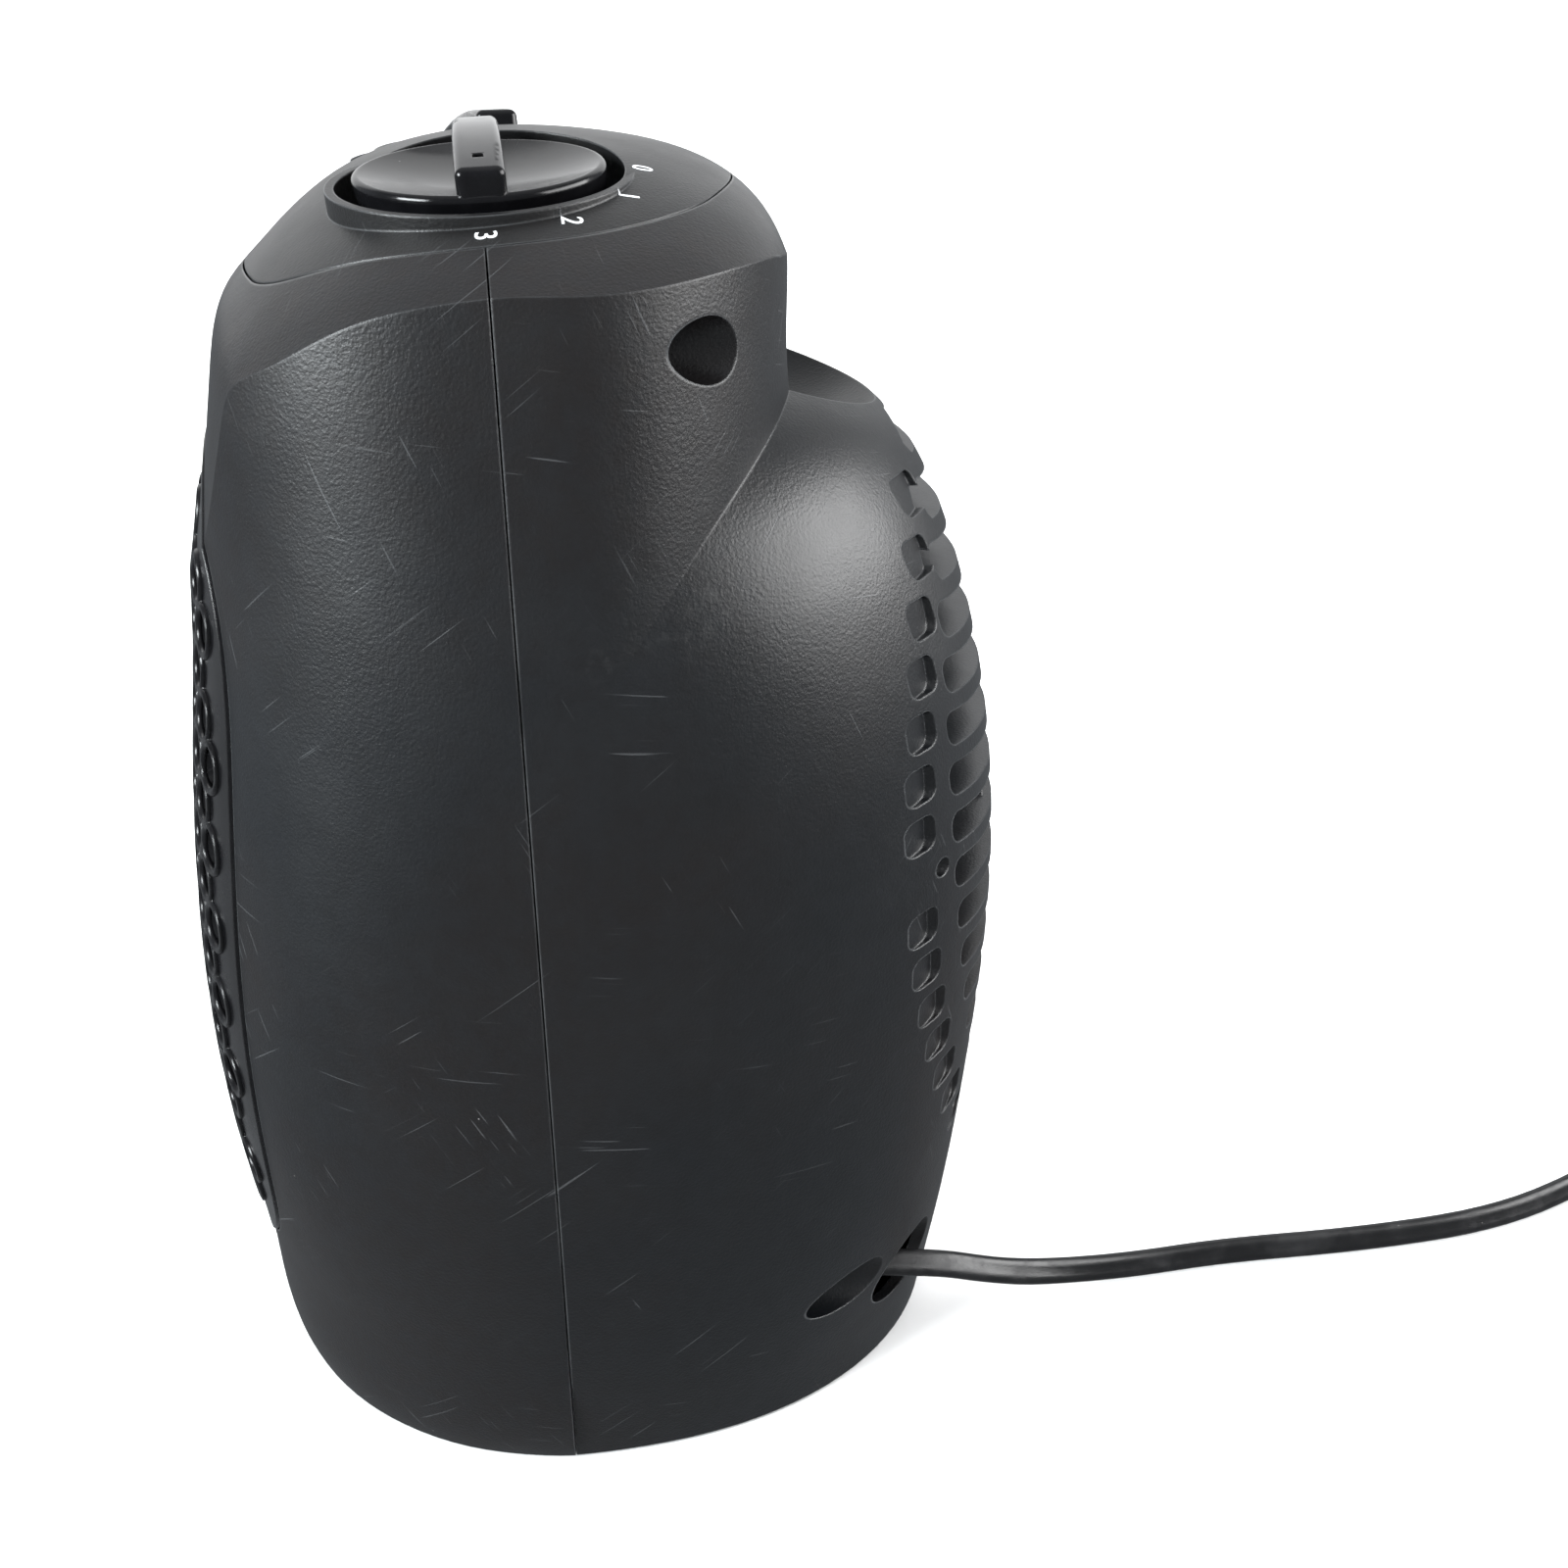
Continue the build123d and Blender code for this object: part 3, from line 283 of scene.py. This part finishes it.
# ---------------------------------------------------------------- material nodes
class Paint:
    """One Principled material, with short calls for the nodes that feed it."""

    def __init__(self, name, **sockets):
        self.material = bpy.data.materials.new(name)
        self.material.use_nodes = True
        self.tree = self.material.node_tree
        self.shader = self.tree.nodes["Principled BSDF"]
        for socket, value in sockets.items():
            self.shader.inputs[socket.replace("_", " ")].default_value = value
        self.place = self.node("TexCoord").outputs["Object"]

    def node(self, kind, inputs=None, **settings):
        made = self.tree.nodes.new("ShaderNode" + kind)
        for key, value in settings.items():
            setattr(made, key, value)
        for key, value in (inputs or {}).items():
            self.feed(made.inputs[key], value)
        return made

    def feed(self, socket, value):
        if isinstance(value, bpy.types.NodeSocket):
            self.tree.links.new(value, socket)
        else:
            socket.default_value = value

    def mapped(self, scale=(1, 1, 1), turn=(0, 0, 0)):
        turns = [radians(angle) for angle in turn]
        mapping = self.node("Mapping", {"Vector": self.place, "Scale": scale, "Rotation": turns})
        return mapping.outputs["Vector"]

    def noise(self, scale, detail=2.0, rough=0.5, place=None, distortion=0.0):
        made = self.node("TexNoise", {"Vector": place or self.place, "Scale": scale,
                                      "Detail": detail, "Roughness": rough,
                                      "Distortion": distortion})
        return made.outputs["Fac"]

    def cells(self, scale, output="Distance", feature="F1"):
        made = self.node("TexVoronoi", {"Vector": self.place, "Scale": scale}, feature=feature)
        return made.outputs[output]

    def span(self, value, low, high, to_low=0.0, to_high=1.0):
        """Maps low..high to to_low..to_high, smoothly and clamped."""
        made = self.node("MapRange", {"Value": value, "From Min": low, "From Max": high,
                                      "To Min": to_low, "To Max": to_high},
                         interpolation_type="SMOOTHSTEP")
        return made.outputs["Result"]

    def math(self, operation, a, b=0.0):
        made = self.node("Math", operation=operation)
        self.feed(made.inputs[0], a)
        self.feed(made.inputs[1], b)
        return made.outputs["Value"]

    def mix(self, factor, a, b):
        made = self.node("Mix", data_type="RGBA")
        self.feed(made.inputs["Factor"], factor)
        for socket, value in (("A", a), ("B", b)):
            colour = [s for s in made.inputs if s.name == socket and s.type == "RGBA"][0]
            self.feed(colour, value if isinstance(value, bpy.types.NodeSocket) else (*value, 1))
        return [s for s in made.outputs if s.type == "RGBA"][0]

    def bump(self, height, strength, distance, normal=None):
        inputs = {"Height": height, "Strength": strength, "Distance": distance}
        if normal is not None:
            inputs["Normal"] = normal
        return self.node("Bump", inputs).outputs["Normal"]

    def rounded(self, radius):
        """Normal with its sharp edges rounded off."""
        return self.node("Bevel", {"Radius": radius}, samples=6).outputs["Normal"]

    def edge_mask(self, rounded):
        """1 on sharp edges and 0 on open surfaces."""
        geometry = self.node("NewGeometry").outputs["Normal"]
        agree = self.node("VectorMath", {0: rounded, 1: geometry}, operation="DOT_PRODUCT")
        return self.span(agree.outputs["Value"], 0.995, 0.80)

    def wrapped(self, radius):
        """Distance round the object's upright axis and height, for marks that lie in its skin."""
        axes = self.node("SeparateXYZ", {"Vector": self.place}).outputs
        round_the_axis = self.math("ARCTAN2", axes["Y"], axes["X"])
        along = self.math("MULTIPLY", round_the_axis, radius)
        return self.node("CombineXYZ", {"X": along, "Y": axes["Z"]}).outputs["Vector"]

    def scratches(self, place, angle, length, width, seed):
        """Sparse hairlines at one angle to the level."""
        mapping = self.node("Mapping", {"Vector": place, "Location": (seed, seed * 2, 0),
                                        "Rotation": (0, 0, radians(angle))})
        scaled = self.node("Mapping", {"Vector": mapping.outputs["Vector"],
                                       "Scale": (1 / length, 1 / width, 1)})
        line = self.span(self.noise(1.0, 1.0, 0.5, scaled.outputs["Vector"]), 0.70, 0.74)
        patch = self.span(self.noise(30.0 + seed, 1.0), 0.52, 0.66)
        return self.math("MULTIPLY", line, patch)

    def specks(self, scale, size, share):
        """Round dust specks on a share of the cells."""
        made = self.node("TexVoronoi", {"Vector": self.place, "Scale": scale})
        near = self.span(made.outputs["Distance"], size, size * 0.4)
        picked = self.node("SeparateColor", {"Color": made.outputs["Color"]}).outputs["Red"]
        chosen = self.span(picked, 1 - share, 1 - share * 0.7)
        return self.math("MULTIPLY", near, chosen)

    def finish(self, colour=None, roughness=None, normal=None):
        for socket, value in (("Base Color", colour), ("Roughness", roughness),
                              ("Normal", normal)):
            if value is not None:
                self.feed(self.shader.inputs[socket], value)
        return self.material


def satin_plastic(name, cool, warm, rough, grain):
    """Spark-eroded black moulding: leather grain, soft tint changes, scuffs, dust, and sharp edges
    lightened partly as rubbed wear, partly as a painted edge highlight.
    """
    paint = Paint(name, Specular_IOR_Level=0.45)
    tint = paint.span(paint.noise(9.0, 3.0), 0.38, 0.62)
    colour = paint.mix(tint, cool, warm)
    mottle = paint.span(paint.noise(240.0, 4.0, 0.6), 0.3, 0.7)
    colour = paint.mix(paint.math("MULTIPLY", mottle, 0.35), colour,
                       [channel * 1.6 for channel in cool])
    rounded = paint.rounded(0.0006)
    edge = paint.edge_mask(rounded)
    # sharp edges lightened towards grey: partly rubbed wear, partly a painted edge highlight
    edge_wear_and_highlight = paint.math("MULTIPLY", edge, paint.span(paint.noise(90.0, 3.0), 0.25, 0.6, 0.35, 1.0))
    colour = paint.mix(paint.math("MULTIPLY", edge_wear_and_highlight, 0.7), colour, (0.090, 0.094, 0.098))
    skin = paint.wrapped(0.08)
    hair = paint.math("ADD", paint.scratches(skin, 8, 0.022, 0.0007, 1.0),
                      paint.scratches(skin, 64, 0.016, 0.0006, 7.0))
    hair = paint.math("ADD", hair, paint.scratches(skin, -38, 0.030, 0.0006, 13.0))
    colour = paint.mix(paint.math("MULTIPLY", hair, 0.30), colour, (0.10, 0.105, 0.11))
    scuff = paint.math("MULTIPLY", paint.span(paint.noise(14.0, 6.0, 0.72), 0.60, 0.74),
                       paint.span(paint.noise(420.0, 3.0, 0.7), 0.45, 0.65))
    colour = paint.mix(paint.math("MULTIPLY", scuff, 0.20), colour, (0.06, 0.06, 0.06))
    dust = paint.specks(190.0, 0.045, 0.035)
    colour = paint.mix(paint.math("MULTIPLY", dust, 0.55), colour, (0.30, 0.29, 0.28))
    sheen = paint.span(paint.noise(22.0, 4.0, 0.6), 0.3, 0.7, rough - 0.04, rough + 0.05)
    sheen = paint.math("ADD", sheen, paint.math("MULTIPLY", scuff, 0.12))
    sheen = paint.math("SUBTRACT", sheen, paint.math("MULTIPLY", edge_wear_and_highlight, 0.14))
    leather = paint.math("ADD", paint.cells(grain, feature="SMOOTH_F1"),
                         paint.noise(grain * 1.7, 2.0, 0.6))
    normal = paint.bump(leather, 0.50, 0.00009, rounded)
    normal = paint.bump(hair, 0.25, 0.00004, normal)
    normal = paint.bump(dust, 0.5, 0.0001, normal)
    return paint.finish(colour, sheen, normal)


def gloss_plastic(name, base, rough):
    """Polished black moulding with faint flow marks, hairlines, dust and a painted highlight along its
    sharp edges.
    """
    paint = Paint(name, Specular_IOR_Level=0.28)
    haze = paint.span(paint.noise(60.0, 5.0, 0.65), 0.35, 0.7)
    colour = paint.mix(haze, base, [channel * 1.8 for channel in base])
    rounded = paint.rounded(0.0005)
    edge = paint.edge_mask(rounded)
    # painted edge highlight: every sharp edge is lightened evenly towards grey
    colour = paint.mix(paint.math("MULTIPLY", edge, 0.3), colour, (0.06, 0.06, 0.06))
    hair = paint.math("ADD", paint.scratches(paint.place, 20, 0.012, 0.0004, 3.0),
                      paint.scratches(paint.place, 75, 0.010, 0.0004, 11.0))
    dust = paint.specks(260.0, 0.06, 0.05)
    colour = paint.mix(paint.math("MULTIPLY", dust, 0.7), colour, (0.35, 0.34, 0.33))
    sheen = paint.span(haze, 0.0, 1.0, rough, rough + 0.10)
    sheen = paint.math("ADD", sheen, paint.math("MULTIPLY", hair, 0.2))
    normal = paint.bump(paint.noise(55.0, 2.0), 0.10, 0.0004, rounded)
    normal = paint.bump(hair, 0.2, 0.00003, normal)
    normal = paint.bump(dust, 0.6, 0.0001, normal)
    return paint.finish(colour, sheen, normal)


def moulded_plastic(name, base, rough=0.5, light=1.35, grain=900.0):
    """Plain inner moulding with flow marks and settled dust."""
    paint = Paint(name)
    flow = paint.span(paint.noise(45.0, 4.0, 0.6, distortion=1.5), 0.3, 0.7)
    colour = paint.mix(flow, base, [min(1.0, channel * light) for channel in base])
    dust = paint.span(paint.noise(130.0, 6.0, 0.75), 0.52, 0.75)
    colour = paint.mix(paint.math("MULTIPLY", dust, 0.22), colour, (0.30, 0.28, 0.25))
    sheen = paint.span(flow, 0.0, 1.0, rough - 0.05, rough + 0.08)
    normal = paint.bump(paint.noise(grain, 3.0, 0.6), 0.4, 0.0001, paint.rounded(0.0003))
    return paint.finish(colour, sheen, normal)


def rubber(name, base, rough=0.55):
    """Soft black jacket: matt skin, fine drag lines, handling marks and dust."""
    paint = Paint(name, Specular_IOR_Level=0.4)
    marks = paint.span(paint.noise(80.0, 5.0, 0.7), 0.4, 0.7)
    colour = paint.mix(marks, base, [channel * 2.2 for channel in base])
    dust = paint.specks(420.0, 0.08, 0.08)
    colour = paint.mix(paint.math("MULTIPLY", dust, 0.6), colour, (0.30, 0.29, 0.27))
    sheen = paint.span(marks, 0.0, 1.0, rough - 0.10, rough + 0.10)
    skin = paint.math("ADD", paint.noise(1600.0, 3.0, 0.6),
                      paint.noise(1.0, 2.0, 0.5, paint.mapped((2200, 120, 2200))))
    return paint.finish(colour, sheen, paint.bump(skin, 0.35, 0.00008))


def metal(name, base, rough, stretch=(60, 1800, 1800)):
    """Drawn or rolled metal: directional grain, stains and duller patches."""
    paint = Paint(name, Metallic=1.0)
    lines = paint.noise(1.0, 3.0, 0.6, paint.mapped(stretch))
    stain = paint.span(paint.noise(60.0, 5.0, 0.7), 0.45, 0.75)
    colour = paint.mix(paint.span(lines, 0.3, 0.7), base, [channel * 0.78 for channel in base])
    colour = paint.mix(paint.math("MULTIPLY", stain, 0.4), colour,
                       [channel * 0.45 for channel in base])
    sheen = paint.math("ADD", paint.span(lines, 0.3, 0.7, rough - 0.06, rough + 0.08),
                       paint.math("MULTIPLY", stain, 0.15))
    normal = paint.bump(lines, 0.25, 0.00004, paint.rounded(0.0002))
    return paint.finish(colour, sheen, normal)


def ceramic(name, base):
    """Fired heating stones: chalky, speckled and slightly pitted."""
    paint = Paint(name, Roughness=0.8)
    speckle = paint.span(paint.noise(900.0, 4.0, 0.7), 0.45, 0.6)
    colour = paint.mix(speckle, base, [channel * 0.55 for channel in base])
    return paint.finish(colour, None, paint.bump(paint.noise(700.0, 5.0, 0.7), 0.5, 0.0002))


def print_white(name):
    """Pad-printed dial figures, thin and slightly worn through."""
    paint = Paint(name, Roughness=0.45)
    worn = paint.span(paint.noise(1500.0, 4.0, 0.7), 0.56, 0.70)
    colour = paint.mix(worn, (0.78, 0.80, 0.82), (0.32, 0.33, 0.34))
    return paint.finish(colour, None, paint.bump(worn, 0.3, 0.00003))


FINISHES = {
    "housing_black": satin_plastic("housing_black", (0.0038, 0.0046, 0.0058),
                                   (0.0060, 0.0050, 0.0052), 0.40, 1650.0),
    "panel_black": satin_plastic("panel_black", (0.0045, 0.0050, 0.0058),
                                 (0.0060, 0.0057, 0.0057), 0.38, 1900.0),
    "grille_black": gloss_plastic("grille_black", (0.003, 0.003, 0.0035), 0.20),
    "knob_black": gloss_plastic("knob_black", (0.003, 0.003, 0.0035), 0.12),
    "shaft_plastic": moulded_plastic("shaft_plastic", (0.55, 0.53, 0.47)),
    "switch_plastic": moulded_plastic("switch_plastic", (0.035, 0.035, 0.036)),
    "brass_tab": metal("brass_tab", (0.78, 0.58, 0.28), 0.32),
    "steel_blade": metal("steel_blade", (0.55, 0.55, 0.56), 0.30),
    "frame_plastic": moulded_plastic("frame_plastic", (0.050, 0.046, 0.042), 0.6),
    "fin_aluminium": metal("fin_aluminium", (0.80, 0.80, 0.82), 0.38, (1500, 1500, 80)),
    "stone_ceramic": ceramic("stone_ceramic", (0.55, 0.52, 0.47)),
    "shroud_plastic": moulded_plastic("shroud_plastic", (0.022, 0.022, 0.022)),
    "fan_plastic": moulded_plastic("fan_plastic", (0.030, 0.030, 0.031), 0.4),
    "shaft_steel": metal("shaft_steel", (0.60, 0.60, 0.61), 0.22),
    "motor_steel": metal("motor_steel", (0.33, 0.33, 0.34), 0.42, (90, 3800, 90)),
    "coil_tape": moulded_plastic("coil_tape", (0.42, 0.17, 0.05), 0.35),
    "bracket_aluminium": metal("bracket_aluminium", (0.66, 0.66, 0.68), 0.45, (500, 500, 500)),
    "bearing_bronze": metal("bearing_bronze", (0.58, 0.38, 0.20), 0.4),
    "screw_steel": metal("screw_steel", (0.16, 0.16, 0.17), 0.35),
    "foot_rubber": rubber("foot_rubber", (0.018, 0.018, 0.018), 0.7),
    "wire_insulation": moulded_plastic("wire_insulation", (0.42, 0.03, 0.02), 0.4),
    "cord_rubber": rubber("cord_rubber", (0.0045, 0.0045, 0.0050), 0.42),
    "tie_plastic": rubber("tie_plastic", (0.022, 0.022, 0.023), 0.5),
}


def finish_nodes():
    """Gives every CAD node the detailed finish of its record slot."""
    for subpart in frame["record"]["subparts"]:
        node = frame["nodes"][subpart["node"]]
        finish = FINISHES[subpart["material_slot"]]
        if not node.material_slots:
            node.data.materials.append(finish)
        for slot in node.material_slots:
            slot.material = finish


finish_nodes()
cord.data.materials.append(FINISHES["cord_rubber"])
plug.data.materials.append(FINISHES["cord_rubber"])

# ---------------------------------------------------------------- dial figures
FIGURE_HEIGHT = 0.0036
FIGURE_RADIUS = 0.0272


def surface_tree(obj):
    mesh = obj.data
    return BVHTree.FromPolygons([vertex.co for vertex in mesh.vertices],
                                [tuple(face.vertices) for face in mesh.polygons])


def make_figure(text, angle, panel):
    """One printed figure on the arched panel, read from the front of the heater."""
    data = bpy.data.curves.new("figure", "FONT")
    data.body = text
    data.size = FIGURE_HEIGHT * 1.4
    data.align_x = "CENTER"
    data.align_y = "CENTER"
    data.extrude = 0.00003
    data.resolution_u = 6
    source = bpy.data.objects.new("figure", data)
    mesh = bpy.data.meshes.new_from_object(source)
    bpy.data.objects.remove(source)
    bpy.data.curves.remove(data)
    fine = bmesh.new()
    fine.from_mesh(mesh)
    for _ in range(3):
        bmesh.ops.triangulate(fine, faces=fine.faces)
        long_edges = [edge for edge in fine.edges if edge.calc_length() > FIGURE_HEIGHT / 8]
        bmesh.ops.subdivide_edges(fine, edges=long_edges, cuts=1)
    bmesh.ops.triangulate(fine, faces=fine.faces)
    fine.to_mesh(mesh)
    fine.free()
    knob = Vector(joints["selector_turn"]["pos_m"])
    centre = knob + FIGURE_RADIUS * Vector((cos(radians(angle)), sin(radians(angle)), 0))
    for vertex in mesh.vertices:
        x, y = centre.x + vertex.co.x, centre.y + vertex.co.y
        hit = panel.ray_cast(Vector((x, y, 0.30)), Vector((0, 0, -1)))[0]
        lift = 0.00007 if vertex.co.z > 0 else -0.00005
        vertex.co = (x, y, hit.z + lift)
    figure = link(bpy.data.objects.new("dial_figure_" + text, mesh))
    mesh.materials.append(dial_print)
    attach(figure, ROOT)
    return figure


dial_print = print_white("dial_print")
panel_tree = surface_tree(frame["nodes"]["control_panel"])
for text, angle in (("3", 0), ("2", 30), ("1", 60), ("0", 90)):
    make_figure(text, angle, panel_tree)


# ---------------------------------------------------------------- outlet mesh
MESH_PITCH = 0.0094         # of the staggered holes in the CAD grille
MESH_HOLE = 0.0039         # radius
MESH_RIM = 0.0040           # plain edge of the plate outside its holes
RING_WIRE = 0.0010
RING_OFFSET = 0.0006        # of the wire's centre outside the hole's edge
RING_SINK = 0.3             # part of the wire's radius that is let into the plate
MESH_COLUMNS = 8            # to each side of the middle


def make_mesh_rings():
    """A rounded ring round every hole of the outlet mesh, laid on the plate's curved face."""
    plate = frame["nodes"]["front_grille"]
    tree = surface_tree(plate)
    low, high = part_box("front_grille")
    middle_x, middle_z = (low[0] + high[0]) / 2, (low[2] + high[2]) / 2
    half_height = (high[2] - low[2]) / 2 - MESH_RIM - MESH_HOLE
    row_height = MESH_PITCH * sqrt(3) / 2
    ring_radius = MESH_HOLE + RING_OFFSET
    around, across = 28, 8
    vertices, faces = [], []
    rows = int(half_height / row_height) + 1
    for row in range(-rows, rows + 1):
        shift = MESH_PITCH / 2 if row % 2 else 0.0
        for column in range(-MESH_COLUMNS, MESH_COLUMNS + 1):
            x = middle_x + column * MESH_PITCH + shift
            z = middle_z + row * row_height
            if tree.ray_cast(Vector((x, -0.3, z)), Vector((0, 1, 0)))[0] is not None:
                continue
            centres = []
            for k in range(around):
                angle = 2 * pi * k / around
                spot = Vector((x + ring_radius * cos(angle), -0.3, z + ring_radius * sin(angle)))
                found, normal = tree.ray_cast(spot, Vector((0, 1, 0)))[:2]
                if found is not None and found.y < seam_y - 0.03:
                    centres.append((found - normal * RING_WIRE * RING_SINK, normal, angle))
            if len(centres) < around:
                continue
            first = len(vertices)
            for place, normal, angle in centres:
                outward = Vector((cos(angle), 0, sin(angle)))
                for j in range(across):
                    turn = 2 * pi * j / across
                    vertices.append(place + RING_WIRE * (cos(turn) * outward + sin(turn) * normal))
            for k in range(around):
                for j in range(across):
                    here, there = first + k * across, first + (k + 1) % around * across
                    faces.append((here + j, there + j, there + (j + 1) % across,
                                  here + (j + 1) % across))
    rings = mesh_object("outlet_mesh_rings", vertices, faces, 60)
    rings.data.materials.append(FINISHES["grille_black"])
    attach(rings, ROOT)


make_mesh_rings()


# ---------------------------------------------------------------- seam tongue
def make_seam_tongue(name, toward):
    """Inner tongue that closes the gap between the housing shells along one side."""
    shells = [surface_tree(frame["nodes"][node]) for node in ("front_housing", "rear_housing")]
    half_width, thickness, clearance = 0.004, 0.0008, 0.0002
    reach = 0.08
    rings = []
    for degrees in range(-54, 61, 3):
        angle = radians(degrees)
        outward = Vector((toward * cos(angle), 0, sin(angle)))
        distances = []
        for depth in (-0.003, -0.001, 0.001, 0.003):
            start = Vector((0, seam_y + depth, fan_z))
            for shell in shells:
                found = shell.ray_cast(start, outward)
                if found[0] is not None:
                    distances.append(found[3])
        reach = min(distances, default=reach)
        rings.append([Vector((0, seam_y + side * half_width, fan_z))
                      + (reach - clearance - inset) * outward
                      for inset, side in ((0, -1), (0, 1), (thickness, 1), (thickness, -1))])
    vertices = [corner for ring in rings for corner in ring]
    tongue = mesh_object(name, vertices, ring_faces(len(rings), 4))
    tongue.data.materials.append(FINISHES["shroud_plastic"])
    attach(tongue, ROOT)


make_seam_tongue("seam_tongue_selector_side", 1)
make_seam_tongue("seam_tongue_thermostat_side", -1)


# ---------------------------------------------------------------- stage and light
def make_stage():
    """Pale floor that rises into a backdrop behind the heater."""
    rows = [(3.0, 0.0), (-0.9, 0.0)]
    for k in range(1, 13):
        angle = pi / 2 * k / 12
        rows.append((-0.9 - 0.8 * sin(angle), 0.8 - 0.8 * cos(angle)))
    rows.append((-1.7, 2.6))
    vertices = []
    for x, z in rows:
        vertices += [(x, -3.2, z), (x, 3.2, z)]
    faces = [(2 * k, 2 * k + 1, 2 * k + 3, 2 * k + 2) for k in range(len(rows) - 1)]
    stage = mesh_object("stage", vertices, faces)
    paint = Paint("stage_paper", Roughness=0.9, Specular_IOR_Level=0.1)
    pulp = paint.span(paint.noise(3.0, 3.0), 0.3, 0.7)
    colour = paint.mix(pulp, (0.90, 0.90, 0.90), (0.93, 0.93, 0.925))
    stage.data.materials.append(paint.finish(colour))
    stage.visible_glossy = False        # black flags: the paper is kept out of the reflections


def soft_light(name, place, target, width, height, power, colour=(1, 1, 1), glossy=True):
    data = bpy.data.lights.new(name, "AREA")
    data.shape = "RECTANGLE"
    data.size, data.size_y = width, height
    data.energy = power
    data.color = colour
    light = link(bpy.data.objects.new(name, data))
    light.location = place
    light.rotation_euler = (Vector(target) - Vector(place)).to_track_quat("-Z", "Y").to_euler()
    light.visible_camera = False
    light.visible_glossy = glossy


make_stage()
middle = (0, 0, fan_z)
soft_light("paper_fill", (-0.2, 0.0, 2.1), middle, 3.0, 3.0, 40, glossy=False)
soft_light("ceiling", (-0.2, 0.0, 2.0), middle, 2.6, 2.6, 7)
soft_light("front_side", (0.62, -1.3, 0.76), middle, 0.70, 0.50, 56, (0.93, 0.98, 1.0))
soft_light("rear_side", (0.25, 1.45, 0.75), middle, 1.5, 0.9, 46)
soft_light("far_side", (-1.5, 0.0, 0.9), middle, 2.6, 1.3, 10.5)

world = bpy.data.worlds.new("studio")
world.use_nodes = True
world.node_tree.nodes["Background"].inputs["Color"].default_value = (0.9, 0.95, 1.0, 1)
world.node_tree.nodes["Background"].inputs["Strength"].default_value = 0.28
scene.world = world
scene.view_settings.view_transform = "Standard"
